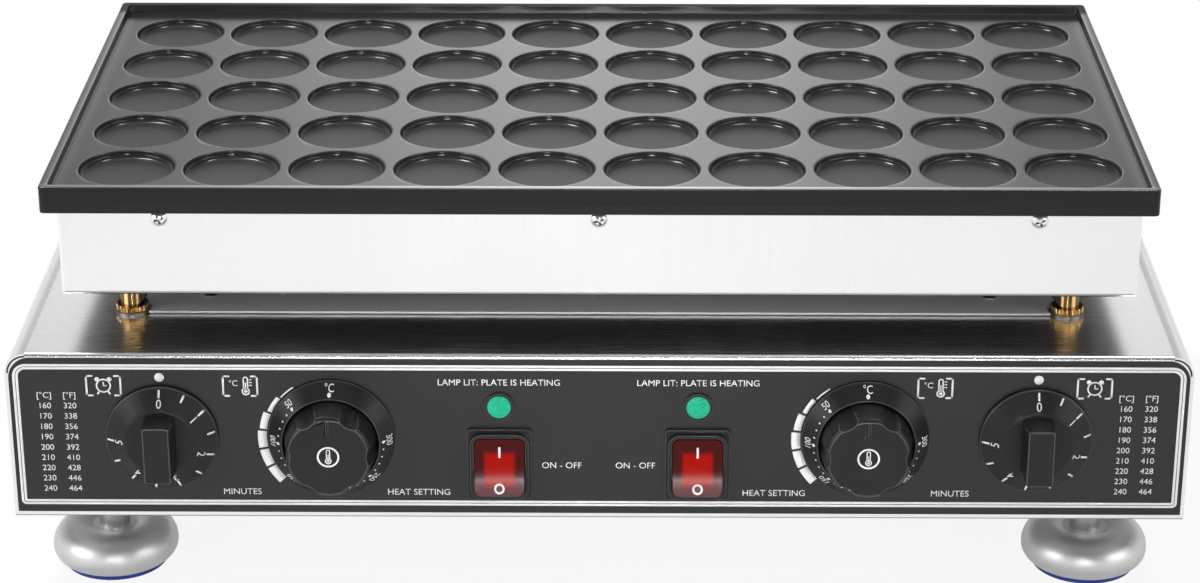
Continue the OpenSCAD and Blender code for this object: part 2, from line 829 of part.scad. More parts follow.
// Holes for the controls, the same in the front panel and in the overlay
module panel_cuts() {
    cut_l = 2 * (sheet_t + overlay_t) + 2 * over;
    for (s = [-1, 1]) {
        for (x = [timer_x, thermostat_x]) on_front(s * x, knob_rise) {
            cylinder(d = neck_dia + 2 * hole_gap, h = cut_l, center = true);
            at_control_screws() cylinder(d = screw_dia + 2 * hole_gap, h = cut_l, center = true);
        }
        on_front(s * switch_x, lamp_rise)
            cylinder(d = lamp_barrel_dia + 2 * hole_gap, h = cut_l, center = true);
        on_front(s * switch_x, switch_rise) translate([0, 0, -cut_l / 2]) linear_extrude(cut_l)
            round_rect(collar_w + 2 * hole_gap, collar_d + 2 * hole_gap, collar_r + hole_gap);
    }
}

module control_overlay() {
    color([0.1, 0.1, 0.11]) difference() {
        at_body() upright(front_y - overlay_t, front_y)
            front_outline(overlay_margin, overlay_low_margin, fold_r, overlay_r);
        panel_cuts();
    }
}

module rear_panel() {
    color("lightgray") at_body() difference() {
        upright(rear_y - sheet_t, rear_y)
            front_outline(sheet_t + edge_gap, 0, sheet_t + edge_gap, bend_r - sheet_t - edge_gap);
        at_rear_screws() cylinder(d = screw_dia + 2 * hole_gap, h = 3 * sheet_t, center = true);
        translate([gland_x, rear_y, base_z + gland_rise]) rotate([90, 0, 0])
            cylinder(d = gland_thread_dia + 2 * hole_gap, h = 4 * sheet_t, center = true);
        for (i = [0:vent_n - 1])
            translate([(i - (vent_n - 1) / 2) * vent_pitch - vent_x, 0, base_z + knob_rise])
                upright(rear_y - 2 * sheet_t, rear_y + over) round_rect(vent_w, rear_vent_l, vent_r);
    }
}

module base_plate() {
    deep = body_d - 2 * sheet_t - 2 * edge_gap;
    color("silver") difference() {
        at_body() translate([0, 0, base_z]) linear_extrude(sheet_t) difference() {
            square([body_w - 2 * sheet_t - 2 * edge_gap, deep], center = true);
            for (s = [-1, 1], i = [0:vent_n - 1])
                translate([s * vent_x + (i - (vent_n - 1) / 2) * vent_pitch, 0])
                    round_rect(vent_w, vent_l, vent_r);
        }
        at_body() at_base_screws() cylinder(d = screw_dia + 2 * hole_gap, h = 3 * sheet_t, center = true);
        at_feet() translate([0, 0, base_z - over])
            cylinder(d = stud_dia + 2 * hole_gap, h = sheet_t + 2 * over);
    }
}

// All the pan-head screws of the floor, base, rear and shield
module panel_screws() {
    reach = 2 * sheet_t + screw_bite;
    dia = screw_dia - 2 * fit;
    color("silver") at_body() {
        at_floor_screws() pan_screw(dia, head_dia, head_h, reach);
        at_base_screws() pan_screw(dia, head_dia, head_h, reach);
        at_rear_screws() pan_screw(dia, head_dia, head_h, reach);
        at_shield_screws() pan_screw(dia, head_dia, head_h, shield_t + shield_rise + sheet_t + screw_bite);
    }
}

// Timers and thermostats

module at_control_screws() {
    for (s = [-1, 1]) translate([s * control_screw_pitch / 2, 0, 0]) children();
}

// Control case behind the panel with a neck through it and a blind bearing for the shaft
module control_case(w, deep) {
    difference() {
        union() {
            translate([0, 0, -sheet_t - deep]) linear_extrude(deep) round_rect(w, w, case_r);
            translate([0, 0, -sheet_t - over]) cylinder(d = neck_dia, h = sheet_t + over + neck_out);
        }
        translate([0, 0, -sheet_t - shaft_in])
            cylinder(d = shaft_dia + 2 * fit, h = shaft_in + 2 * sheet_t + over);
        at_control_screws() translate([0, 0, -sheet_t - control_bite - over])
            cylinder(d = screw_dia, h = control_bite + 2 * over);
    }
}
module timer(x) { color("whitesmoke") on_front(x, knob_rise) control_case(timer_case_w, timer_case_d); }
module timer_left() { timer(-timer_x); }
module timer_right() { timer(timer_x); }
module thermostat(x) {
    color("tan") on_front(x, knob_rise) control_case(thermostat_case_w, thermostat_case_d);
}
module thermostat_left() { thermostat(-thermostat_x); }
module thermostat_right() { thermostat(thermostat_x); }

// Round shaft with a flat on the stretch that the knob holds, cut into a knob with a gap
module shaft_form(z0, z_flat, z1, gap) {
    difference() {
        translate([0, 0, z0]) cylinder(d = shaft_dia + 2 * gap, h = z1 - z0);
        translate([-shaft_dia, shaft_dia / 2 - shaft_flat + gap, z_flat])
            cube([2 * shaft_dia, shaft_dia, z1 - z_flat + over]);
    }
}
timer_back = overlay_t + knob_air;
timer_front = overlay_t + timer_reach;
timer_flat = timer_back + dial_recess_h;
knob_flat = knob_lift + knob_recess_h;
shaft_low = -sheet_t - shaft_in + seat;

module timer_shaft(x) {
    color("gray") on_front(x, knob_rise)
        shaft_form(shaft_low, timer_flat, timer_front - knob_floor - seat, 0);
}
module timer_shaft_left() { timer_shaft(-timer_x); }
module timer_shaft_right() { timer_shaft(timer_x); }
module thermostat_shaft(x) {
    color("gray") on_front(x, knob_rise)
        shaft_form(shaft_low, knob_flat, knob_front - knob_floor - seat, 0);
}
module thermostat_shaft_left() { thermostat_shaft(-thermostat_x); }
module thermostat_shaft_right() { thermostat_shaft(thermostat_x); }

// Bar grip: its plan and end outlines cross to leave drafted sides
module grip_bar(z0, z1) {
    tall = z1 - z0;
    back_w = grip_w + 2 * grip_draft;
    translate([0, 0, z0]) intersection() {
        linear_extrude(tall) round_rect(back_w, grip_l, grip_r);
        rotate([90, 0, 0]) linear_extrude(2 * grip_l, center = true) polygon([
            [-back_w / 2, 0], [back_w / 2, 0], [grip_w / 2, tall], [-grip_w / 2, tall],
        ]);
    }
}

module timer_knob(x) {
    dial_z = timer_back + timer_dial_t;
    color([0.13, 0.13, 0.13]) on_front(x, knob_rise) difference() {
        union() {
            translate([0, 0, timer_back]) cylinder(d = timer_dial_dia, h = dial_edge_t);
            translate([0, 0, timer_back + dial_edge_t])
                cylinder(d1 = timer_dial_dia, d2 = timer_hub_dia, h = timer_dial_t - dial_edge_t);
            grip_bar(dial_z - over, timer_front);
        }
        translate([0, 0, timer_back - over]) cylinder(d = dial_recess_dia, h = dial_recess_h + over);
        shaft_form(0, timer_flat, timer_front - knob_floor, fit);
    }
}
module timer_knob_left() { timer_knob(-timer_x); }
module timer_knob_right() { timer_knob(timer_x); }

// Fixed dial ring round a thermostat's shaft: a flat back and a conical collar round the knob
module thermostat_dial(x) {
    bore_dia = knob_dia + 2 * ring_gap;
    color([0.16, 0.16, 0.16]) on_front(x, knob_rise) translate([0, 0, overlay_t]) difference() {
        union() {
            cylinder(d = ring_dia, h = ring_edge_t);
            translate([0, 0, ring_edge_t])
                cylinder(d1 = ring_dia, d2 = bore_dia + 2 * ring_rim, h = ring_h - ring_edge_t);
        }
        translate([0, 0, ring_t]) cylinder(d = bore_dia, h = ring_h);
        translate([0, 0, -over]) cylinder(d = neck_dia + 2 * hole_gap, h = ring_t + 2 * over);
        at_control_screws() translate([0, 0, -over])
            cylinder(d = screw_dia + 2 * hole_gap, h = ring_t + 2 * over);
    }
}
module thermostat_dial_left() { thermostat_dial(-thermostat_x); }
module thermostat_dial_right() { thermostat_dial(thermostat_x); }

// Knob with a dished face, a raised pointer line at the top and flutes that run out down its side
module thermostat_knob(x) {
    base_r = knob_dia / 2;
    face_r = knob_front_dia / 2;
    side_h = knob_h - knob_round;
    flute_tilt = atan(flute_depth / (flute_share * knob_h) + (base_r - face_r) / side_h);
    color([0.11, 0.11, 0.11]) on_front(x, knob_rise) translate([0, 0, knob_lift]) difference() {
        union() {
            rotate(90 + 360 / flute_n) {
                cylinder(r1 = base_r, r2 = face_r, h = side_h);
                translate([0, 0, side_h]) cylinder(r1 = face_r, r2 = face_r - knob_round, h = knob_round);
            }
            translate([-pointer_w / 2, face_r - knob_round - pointer_inset - pointer_l, knob_h - over])
                cube([pointer_w, pointer_l, pointer_h + over]);
        }
        for (i = [0:flute_n - 1]) rotate(360 * (i + 0.5) / flute_n)
            translate([0, face_r + flute_r - flute_depth, knob_h]) rotate([flute_tilt, 0, 0])
                cylinder(r = flute_r, h = 3 * knob_h, center = true);
        translate([0, 0, knob_h - knob_dish_h + knob_dish_r]) sphere(knob_dish_r);
        translate([0, 0, -over]) cylinder(d = knob_recess_dia, h = knob_recess_h + over);
        translate([0, 0, -knob_lift]) shaft_form(0, knob_flat, knob_front - knob_floor, fit);
    }
}
module thermostat_knob_left() { thermostat_knob(-thermostat_x); }
module thermostat_knob_right() { thermostat_knob(thermostat_x); }

// Screws that hold the timers and, through the dial rings, the thermostats
module control_screws() {
    dia = screw_dia - 2 * fit;
    grip = sheet_t + control_bite;
    color("silver") for (s = [-1, 1]) {
        on_front(s * timer_x, knob_rise) at_control_screws() translate([0, 0, overlay_t])
            pan_screw(dia, control_head_dia, control_head_h, overlay_t + grip);
        on_front(s * thermostat_x, knob_rise) at_control_screws() translate([0, 0, overlay_t + ring_t])
            pan_screw(dia, control_head_dia, control_head_h, overlay_t + ring_t + grip);
    }
}

// Lamps

lamp_seat_z = overlay_t + lamp_bezel_h - lamp_seat_depth;

module lamp(x) {
    color("darkslategray") on_front(x, lamp_rise) difference() {
        union() {
            translate([0, 0, overlay_t]) cylinder(d = lamp_bezel_dia, h = lamp_bezel_h);
            translate([0, 0, overlay_t - lamp_barrel_l])
                cylinder(d = lamp_barrel_dia, h = lamp_barrel_l + over);
        }
        translate([0, 0, lamp_seat_z]) cylinder(d = lamp_lens_dia + 2 * fit, h = lamp_seat_depth + over);
    }
}
module lamp_left() { lamp(-switch_x); }
module lamp_right() { lamp(switch_x); }

// Lens with a shallow domed front
module lamp_lens(x) {
    r = lamp_lens_dia / 2;
    dome_r = (r * r + lamp_dome_h * lamp_dome_h) / (2 * lamp_dome_h);
    color("mediumseagreen") on_front(x, lamp_rise) translate([0, 0, lamp_seat_z]) intersection() {
        cylinder(r = r, h = lamp_seat_depth + lamp_dome_h);
        translate([0, 0, lamp_seat_depth + lamp_dome_h - dome_r]) sphere(dome_r);
    }
}
module lamp_lens_left() { lamp_lens(-switch_x); }
module lamp_lens_right() { lamp_lens(switch_x); }

// Rocker switches

collar_w = switch_w - 2 * collar_inset;
collar_d = switch_h - 2 * collar_inset;
well_w = collar_w - 2 * collar_wall;
well_h = collar_d - 2 * collar_wall;
rocker_w = well_w - 2 * rocker_side_gap;
rocker_r = well_h / 2 - rocker_air;
pivot_z = overlay_t + switch_bezel_h;

// Switch body with a flat bezel, a raised collar and a well for the rocker
module switch_body(x) {
    color([0.12, 0.12, 0.12]) on_front(x, switch_rise) difference() {
        union() {
            translate([0, 0, overlay_t])
                linear_extrude(switch_bezel_h) round_rect(switch_w, switch_h, switch_r);
            translate([0, 0, -switch_barrel_l]) linear_extrude(switch_barrel_l + overlay_t + switch_collar_h)
                round_rect(collar_w, collar_d, collar_r);
        }
        translate([0, 0, -rocker_well]) linear_extrude(rocker_well + overlay_t + switch_collar_h + over)
            round_rect(well_w, well_h, collar_r - collar_wall);
        translate([0, 0, pivot_z]) rotate([0, 90, 0])
            cylinder(d = trunnion_dia + 2 * fit, h = well_w + 2 * trunnion_l, center = true);
    }
}
module switch_left() { switch_body(-switch_x); }
module switch_right() { switch_body(switch_x); }

// Rocker turned about its pivot with a hollow front, pressed in at its top, on two moulded trunnions
module rocker(x) {
    color("red") on_front(x, switch_rise) translate([0, 0, pivot_z]) rotate([-rocker_swing / 2, 0, 0]) {
        difference() {
            rotate([0, 90, 0]) rotate_extrude() intersection() {
                round_rect(2 * rocker_r, rocker_w, rocker_corner_r);
                translate([0, -rocker_w / 2]) square([rocker_r, rocker_w]);
            }
            rotate([90, 0, 90]) linear_extrude(2 * rocker_w, center = true) {
                translate([0, rocker_middle + rocker_hollow_r]) circle(rocker_hollow_r);
                translate([-2 * rocker_r, -rocker_back - 2 * rocker_r])
                    square([4 * rocker_r, 2 * rocker_r]);
            }
        }
        rotate([0, 90, 0]) cylinder(d = trunnion_dia, h = rocker_w + 2 * trunnion_l, center = true);
    }
}
module rocker_left() { rocker(-switch_x); }
module rocker_right() { rocker(switch_x); }

// Mains connection

module terminal_block() {
    color("ivory") at_body() translate([gland_x, rear_y - block_y, base_z + sheet_t]) difference() {
        translate([-block_w / 2, -block_d / 2, 0]) cube([block_w, block_d, block_h]);
        for (i = [0:block_wells - 1])
            translate([(i - (block_wells - 1) / 2) * block_w / block_wells, 0, block_h / 2])
                cylinder(d = block_well_dia, h = block_h);
    }
}

module cable_gland() {
    color([0.15, 0.15, 0.15]) on_rear(gland_x, gland_rise) difference() {
        union() {
            translate([0, 0, -gland_thread_l]) cylinder(d = gland_thread_dia, h = gland_thread_l + over);
            cylinder(d = gland_hex_dia, h = gland_hex_h, $fn = 6);
            cylinder(d = gland_cap_dia, h = gland_reach - gland_nose_h);
            translate([0, 0, gland_reach - gland_nose_h])
                cylinder(d1 = gland_cap_dia, d2 = gland_nose_dia, h = gland_nose_h);
        }
        translate([0, 0, -gland_thread_l - over])
            cylinder(d = gland_bore, h = gland_thread_l + gland_reach + 2 * over);
    }
}

module gland_nut() {
    color([0.15, 0.15, 0.15]) on_rear(gland_x, gland_rise)
        translate([0, 0, -sheet_t - gland_nut_h]) difference() {
            cylinder(d = gland_hex_dia, h = gland_nut_h, $fn = 6);
            translate([0, 0, -over]) cylinder(d = gland_thread_dia + 2 * fit, h = gland_nut_h + 2 * over);
        }
}

// Levelling feet

module foot_nuts() {
    color("silver") at_feet() translate([0, 0, base_z + sheet_t]) difference() {
        cylinder(d = foot_nut_dia, h = foot_nut_h, $fn = 6);
        translate([0, 0, -over]) cylinder(d = stud_dia + 2 * fit, h = foot_nut_h + 2 * over);
    }
}

// Half section of the bell: a large upper curve and a tighter lower one meet at the belly
module bell_section() {
    belly_r = foot_dia / 2;
    intersection() {
        translate([belly_r - bell_r, foot_belly]) circle(bell_r);
        translate([0, foot_belly]) square([belly_r + over, bell_r + over]);
    }
    translate([0, foot_belly]) square([belly_r - bell_r, bell_r - bell_dish]);
    intersection() {
        union() {
            translate([belly_r - bell_low_r, foot_belly]) circle(bell_low_r);
            square([belly_r - bell_low_r, foot_belly]);
        }
        translate([0, pad_t]) square([belly_r + over, foot_belly - pad_t]);
    }
}

module foot(sx, sy) {
    stud_top_z = base_z + sheet_t + foot_nut_h + foot_travel + stud_spare;
    color("lightgray") at_body() translate([sx * foot_x, sy * foot_y, 0]) {
        rotate_extrude() bell_section();
        translate([0, 0, foot_belly - over]) cylinder(d = stem_dia, h = base_z - seat - foot_belly + over);
        translate([0, 0, foot_belly]) cylinder(d = stud_dia, h = stud_top_z - foot_belly);
    }
}
module foot_front_left() { foot(-1, -1); }
module foot_front_right() { foot(1, -1); }
module foot_rear_left() { foot(-1, 1); }
module foot_rear_right() { foot(1, 1); }

module pad(sx, sy) {
    color("mediumblue") at_body() translate([sx * foot_x, sy * foot_y, 0]) cylinder(d = pad_dia, h = pad_t);
}
module pad_front_left() { pad(-1, -1); }
module pad_front_right() { pad(1, -1); }
module pad_rear_left() { pad(-1, 1); }
module pad_rear_right() { pad(1, 1); }

baking_plate();
upper_housing();
housing_floor();
housing_screws();
heater_left();
heater_right();
heater_clamps();
clamp_bolts();
sensor_left();
sensor_right();
bulb_clips();
insulation_board();
standoffs();
standoff_nuts();
standoff_washers();
standoff_locknuts();
heat_shield();
lower_cover();
rear_panel();
base_plate();
panel_screws();
control_overlay();
timer_left();
timer_right();
timer_shaft_left();
timer_shaft_right();
timer_knob_left();
timer_knob_right();
thermostat_left();
thermostat_right();
thermostat_shaft_left();
thermostat_shaft_right();
thermostat_dial_left();
thermostat_dial_right();
thermostat_knob_left();
thermostat_knob_right();
control_screws();
lamp_left();
lamp_right();
lamp_lens_left();
lamp_lens_right();
switch_left();
switch_right();
rocker_left();
rocker_right();
terminal_block();
cable_gland();
gland_nut();
foot_nuts();
foot_front_left();
foot_front_right();
foot_rear_left();
foot_rear_right();
pad_front_left();
pad_front_right();
pad_rear_left();
pad_rear_right();
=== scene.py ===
"""Looks of an electric mini pancake maker: a cast plate with fifty moulds over a steel control body.

X runs to the right, Y to the back and Z up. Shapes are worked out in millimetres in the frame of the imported
solids and become metres when their mesh is made. The solids keep their places: this script gives them their
finishes, casts the baking plate with its rounded edges, cuts the lamp lenses and prints the controls.
"""

import json
import math

import bmesh
import bpy
import numpy as np
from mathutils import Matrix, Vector


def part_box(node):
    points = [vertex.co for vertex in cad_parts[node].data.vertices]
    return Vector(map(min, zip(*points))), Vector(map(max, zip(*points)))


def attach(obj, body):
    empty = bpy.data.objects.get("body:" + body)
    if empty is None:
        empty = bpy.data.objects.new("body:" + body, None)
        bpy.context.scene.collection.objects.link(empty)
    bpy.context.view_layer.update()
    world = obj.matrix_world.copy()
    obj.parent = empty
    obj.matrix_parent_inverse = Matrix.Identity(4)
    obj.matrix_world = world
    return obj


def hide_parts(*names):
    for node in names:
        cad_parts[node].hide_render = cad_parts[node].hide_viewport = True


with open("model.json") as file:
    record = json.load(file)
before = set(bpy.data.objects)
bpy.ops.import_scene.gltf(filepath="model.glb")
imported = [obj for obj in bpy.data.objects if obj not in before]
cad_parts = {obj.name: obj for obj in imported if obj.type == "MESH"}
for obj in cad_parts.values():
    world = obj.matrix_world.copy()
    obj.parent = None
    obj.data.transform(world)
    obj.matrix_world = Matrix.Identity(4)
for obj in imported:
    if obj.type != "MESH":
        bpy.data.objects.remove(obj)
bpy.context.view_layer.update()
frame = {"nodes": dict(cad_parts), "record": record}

MM = 0.001


def box(node):
    """Lowest and highest corner of a solid, in millimetres."""
    low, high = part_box(node)
    return np.array(low) / MM, np.array(high) / MM


def middle(node):
    """Centre of a solid's box, in millimetres."""
    low, high = box(node)
    return (low + high) / 2


# Camera

PHOTO_W = 1200
FOCAL_PX = 3181.7
SENSOR_MM = 36.0
EYE_MM = np.array([11.1, -1509.1, 747.6])
PITCH = math.radians(23.28)
YAW = math.radians(0.44)


def add_camera():
    """Camera at EYE_MM, turned YAW to the left and PITCH down, with the photograph's focal length."""
    ahead = Vector((-math.sin(YAW) * math.cos(PITCH), math.cos(YAW) * math.cos(PITCH), -math.sin(PITCH)))
    lens = bpy.data.cameras.new("camera")
    lens.sensor_width = SENSOR_MM
    lens.lens = FOCAL_PX / PHOTO_W * SENSOR_MM
    camera = bpy.data.objects.new("camera", lens)
    camera.location = EYE_MM * MM
    camera.rotation_mode = "QUATERNION"
    camera.rotation_quaternion = ahead.to_track_quat("-Z", "Y")
    bpy.context.scene.collection.objects.link(camera)
    bpy.context.scene.camera = camera


# Shader maths


class Tone:
    """A shader socket used as a number: each operator adds one Math node."""

    def __init__(self, graph, socket):
        self.graph = graph
        self.socket = socket

    def math(self, operation, *values):
        """One Math node on the given values."""
        return self.graph.add("Math", {"operation": operation}, dict(enumerate(values)))

    def __add__(self, other):
        return self.math("ADD", self, other)

    def __radd__(self, other):
        return self.math("ADD", other, self)

    def __sub__(self, other):
        return self.math("SUBTRACT", self, other)

    def __rsub__(self, other):
        return self.math("SUBTRACT", other, self)

    def __mul__(self, other):
        return self.math("MULTIPLY", self, other)

    def __rmul__(self, other):
        return self.math("MULTIPLY", other, self)

    def __abs__(self):
        return self.math("ABSOLUTE", self)

    def root(self):
        """The square root."""
        return self.math("SQRT", self)

    def bell(self, wide):
        """1 at 0, falling like a normal curve that is 0.37 at wide."""
        share = self * (1 / wide)
        return self.math("EXPONENT", -1 * share * share)

    def most(self, other):
        """The larger of the two."""
        return self.math("MAXIMUM", self, other)

    def ramp(self, low, high):
        """0 below low, 1 above high and a smooth step between them."""
        span = {"Value": self, "From Min": low, "From Max": high}
        return self.graph.add("MapRange", {"interpolation_type": "SMOOTHSTEP"}, span)

    def fade(self, level, span):
        """A ramp along a coordinate: span gives its start and end in millimetres past level."""
        return self.ramp((level + span[0]) * MM, (level + span[1]) * MM)


class Graph:
    """A node tree in which every node is added the same way."""

    def __init__(self, tree):
        self.tree = tree

    def feed(self, socket, value):
        """Links a Tone to a socket, or sets a plain value on it."""
        if isinstance(value, Tone):
            self.tree.links.new(value.socket, socket)
        else:
            socket.default_value = value

    def add(self, kind, settings=None, inputs=None, out=0):
        """A new node with its settings, then its sockets' values or links; returns one of its outputs."""
        node = self.tree.nodes.new("ShaderNode" + kind)
        for key, value in (settings or {}).items():
            setattr(node, key, value)
        for key, value in (inputs or {}).items():
            self.feed(node.inputs[key], value)
        return Tone(self, node.outputs[out])

    def split(self, vector):
        """The three numbers of a vector."""
        parts = self.add("SeparateXYZ", inputs={0: vector}).socket.node.outputs
        return [Tone(self, part) for part in parts]

    def rays(self):
        """1 or 0 for rays straight from the camera, in gloss and through glass."""
        path = self.add("LightPath").socket.node.outputs
        return [Tone(self, path[f"Is {kind} Ray"]) for kind in ("Camera", "Glossy", "Transmission")]


class Finish(Graph):
    """One procedural material: a Principled shader and the nodes that feed it."""

    def __init__(self, name, **constants):
        self.material = bpy.data.materials.new(name)
        self.material.use_nodes = True
        super().__init__(self.material.node_tree)
        self.shader = self.tree.nodes["Principled BSDF"]
        self.coat(**constants)

    def coat(self, **sockets):
        """Sets or links the shader's sockets, named in small letters with underscores."""
        known = {socket.name.lower().replace(" ", "_"): socket for socket in self.shader.inputs}
        for key, value in sockets.items():
            self.feed(known[key], value)

    def place(self):
        """Object coordinates in metres."""
        return self.add("TexCoord", out="Object")

    def axes(self):
        """The three object coordinates as numbers."""
        return self.split(self.place())

    def point(self, *values):
        """A vector from three numbers."""
        return self.add("CombineXYZ", inputs=dict(enumerate(values)))

    def noise(self, per_metre, stretch=(1, 1, 1), detail=2.0, where=None):
        """Noise with per_metre cells in a metre, times stretch along each axis."""
        scaled = {0: where or self.place(), 1: stretch}
        grid = self.add("VectorMath", {"operation": "MULTIPLY"}, scaled)
        return self.add("TexNoise", None, {"Vector": grid, "Scale": per_metre, "Detail": detail})

    def tint(self, share, first, second):
        """A colour from first at share 0 to second at share 1."""
        return self.add("Mix", {"data_type": "RGBA"}, {0: share, 6: first, 7: second}, out=2)

    def emboss(self, height, strength, deep_mm):
        """A bump from a height of 0 to 1 that stands for deep_mm millimetres."""
        sockets = {"Height": height, "Strength": strength, "Distance": deep_mm * MM}
        self.coat(normal=self.add("Bump", None, sockets))


def grey(value, warm=0.0):
    """A neutral colour, a little warmer where warm is above 0."""
    return (value * (1 + warm), value, value * (1 - warm), 1)


# Finishes: a fade gives where a change starts and ends, in millimetres from a face or from the middle

MOULD_FLOOR_FADE = (0.4, 0.7)
MOULD_WALL_FADE = (-0.6, -0.2)
RIM_TOP_FADE = (-0.3, -0.1)
RIM_REAR_FADE = (120.0, 130.0)
RIM_FRONT_FADE = (-132.0, -128.0)
BAND_FADE = (-0.8, -0.3)
PAINTED_SHADE_FADE = (-0.4, 0.4)


def coated_casting(deck_z):
    """Dark non-stick coating on cast aluminium: fine orange peel, matt mould floors, a darker outer band.

    The rim's top is worn shiny, most of all in front, and it is matt at the rear.
    """
    made = Finish("coated_casting", specular_ior_level=0.26, coat_roughness=0.2)
    x, y, z = made.axes()
    low, high = box("baking_plate")
    sunk = 1 - z.fade(deck_z - MOULD_DEPTH, MOULD_FLOOR_FADE)
    wall = (1 - sunk) * (1 - z.fade(deck_z, MOULD_WALL_FADE))
    rim = z.fade(deck_z + RIM_RISE, RIM_TOP_FADE)
    rear = y.fade(0.0, RIM_REAR_FADE)
    beside = y.fade(0.0, RIM_FRONT_FADE)
    band = abs(x).fade(high[0], BAND_FADE).most((-1 * y).fade(-low[1], BAND_FADE))
    peel = made.noise(1500, detail=3.0)
    patches = made.noise(18, detail=4.0)
    deck = made.tint(patches, grey(0.019), grey(0.026))
    made.coat(base_color=made.tint(band, deck, grey(0.009)))
    matt = (0.24 * sunk).most(0.5 * rim * rear)
    made.coat(roughness=0.22 - 0.08 * wall + matt + 0.05 * (patches - 0.5) + 0.06 * (peel - 0.5))
    made.coat(coat_weight=rim * (1 - 0.65 * beside) * (1 - rear) * (0.8 + 0.4 * patches))
    made.emboss(peel, 0.25, 0.04)
    return made.material


def brushed(name, value, roughness, stretch, painted_shade_z):
    """Brushed stainless steel: long streaks along the axis with the small stretch, in a slow haze.

    Below the given height it is painted dark, a painted shade.
    """
    made = Finish(name, metallic=1.0)
    streaks = made.noise(1, stretch, detail=3.0)
    haze = made.noise(9, detail=3.0)
    steel = made.tint(0.5 * streaks + 0.5 * haze, grey(value - 0.05), grey(value + 0.05))
    # Painted shade: below the given height the steel turns a dark warm grey
    painted_shade = 1 - made.axes()[2].fade(painted_shade_z, PAINTED_SHADE_FADE)
    made.coat(base_color=made.tint(painted_shade, steel, grey(0.05, 0.1)))
    made.coat(roughness=roughness + 0.1 * (streaks - 0.5) + 0.08 * (haze - 0.5))
    made.emboss(streaks, 0.2, 0.02)
    return made.material


def turned(name, first, second, roughness, centre_x, centre_y, middle_y):
    """Turned metal: fine rings round the nearest of four axes at plus and minus centre_x and centre_y."""
    made = Finish(name, metallic=1.0)
    x, y, z = made.axes()
    across = abs(x) - centre_x
    along = abs(y - middle_y) - centre_y
    reach = (across * across + along * along).root()
    rings = made.noise(2600, detail=3.0, where=made.point(reach, z, 0.0))
    haze = made.noise(60, detail=2.0)
    made.coat(base_color=made.tint(haze, first, second))
    made.coat(roughness=roughness + 0.16 * (rings - 0.5) + 0.08 * (haze - 0.5))
    made.emboss(rings, 0.15, 0.02)
    return made.material


def plated(name, first, second, roughness, painted_shade_mm=0.0):
    """Plated or drawn metal with faint clouds in its tone and gloss.

    Where a crevice width is given, recesses about that wide are painted dark, a painted shade.
    """
    made = Finish(name, metallic=1.0)
    clouds = made.noise(140, detail=4.0)
    scratches = made.noise(900, (1, 0.15, 1), detail=2.0)
    colour = made.tint(clouds, first, second)
    if painted_shade_mm:
        hidden = {"samples": 8, "only_local": True}
        # Painted shade: recesses found by ambient occlusion are tinted near black
        open_sky = made.add("AmbientOcclusion", hidden, {"Distance": painted_shade_mm * MM}, out="AO")
        colour = made.tint(open_sky.ramp(0.45, 0.8), grey(0.02), colour)
    made.coat(base_color=colour)
    made.coat(roughness=roughness + 0.14 * (clouds - 0.5) + 0.08 * (scratches - 0.5))
    made.emboss(scratches, 0.1, 0.02)
    return made.material


def moulded(name, first, second, roughness, grain_mm=0.3, deep_mm=0.02, level=0.5):
    """Moulded or pressed material: fine even grain and slow changes of tone and gloss."""
    made = Finish(name, specular_ior_level=level)
    grain = made.noise(1 / (grain_mm * MM), detail=2.0)
    clouds = made.noise(45, detail=3.0)
    made.coat(base_color=made.tint(clouds, first, second))
    made.coat(roughness=roughness + 0.1 * (grain - 0.5) + 0.08 * (clouds - 0.5))
    made.emboss(grain, 0.3, deep_mm)
    return made.material


def ink(name, first, second):
    """Screen-printed ink: flat and slightly uneven in cover."""
    made = Finish(name, specular_ior_level=0.3)
    cover = made.noise(700, detail=3.0)
    made.coat(base_color=made.tint(cover, first, second))
    made.coat(roughness=0.45 + 0.15 * (cover - 0.5))
    return made.material


def lamp_glass():
    """Green moulded lens with a faint, cloudy glow of its own."""
    made = Finish("lamp_glass", specular_ior_level=0.2, emission_strength=0.22)
    clouds = made.noise(420, detail=2.0)
    made.coat(base_color=made.tint(clouds, (0.01, 0.3, 0.17, 1), (0.02, 0.42, 0.25, 1)))
    made.coat(emission_color=made.tint(clouds, (0.0, 0.4, 0.22, 1), (0.03, 0.6, 0.36, 1)))
    made.coat(roughness=0.16 + 0.1 * (clouds - 0.5))
    return made.material


HOLDER_SIDE_FADE = (6.0, 8.2)
HOLDER_TOP_FADE = (5.2, 9.2)
HOLDER_FOOT_FADE = (6.6, 10.0)
# Where the painted reflection on the rocker's lower part starts, below its middle
PAINTED_REFLECTION_FADE = (4.2, 5.4)


def rocker_plastic(name, node):
    """Clear red rocker: dark red, its inner lamp holder bright through the middle, its lower part paler with
    a clear coat, a painted reflection.
    """
    made = Finish(name, specular_ior_level=0.07, coat_roughness=0.4, emission_strength=0.2)
    centre_x, _, centre_z = middle(node) * MM
    x, _, z = made.axes()
    beside = abs(x - centre_x).fade(0.0, HOLDER_SIDE_FADE)
    above = (z - centre_z).fade(0.0, HOLDER_TOP_FADE)
    below = (centre_z - z).fade(0.0, HOLDER_FOOT_FADE)
    outside = beside.most(above).most(below)
    # Painted reflection: the lower part's shell is lighter and greyer, standing in for the floor's reflection
    painted_reflection = (centre_z - z).fade(0.0, PAINTED_REFLECTION_FADE)
    cloud = made.noise(500, detail=2.0)
    core = made.tint(cloud, (0.24, 0.003, 0.001, 1), (0.3, 0.006, 0.003, 1))
    shell = made.tint(painted_reflection, (0.055, 0.006, 0.006, 1), (0.13, 0.05, 0.05, 1))
    made.coat(base_color=made.tint(outside, core, shell))
    made.coat(emission_color=made.tint(outside, (0.45, 0.002, 0.0, 1), (0.02, 0.0, 0.0, 1)))
    made.coat(roughness=0.22 + 0.08 * (cloud - 0.5), coat_weight=0.3 * painted_reflection)
    return made.material


# Meshes

MERGE_M = 1e-6
SLIVER_M = 1e-7


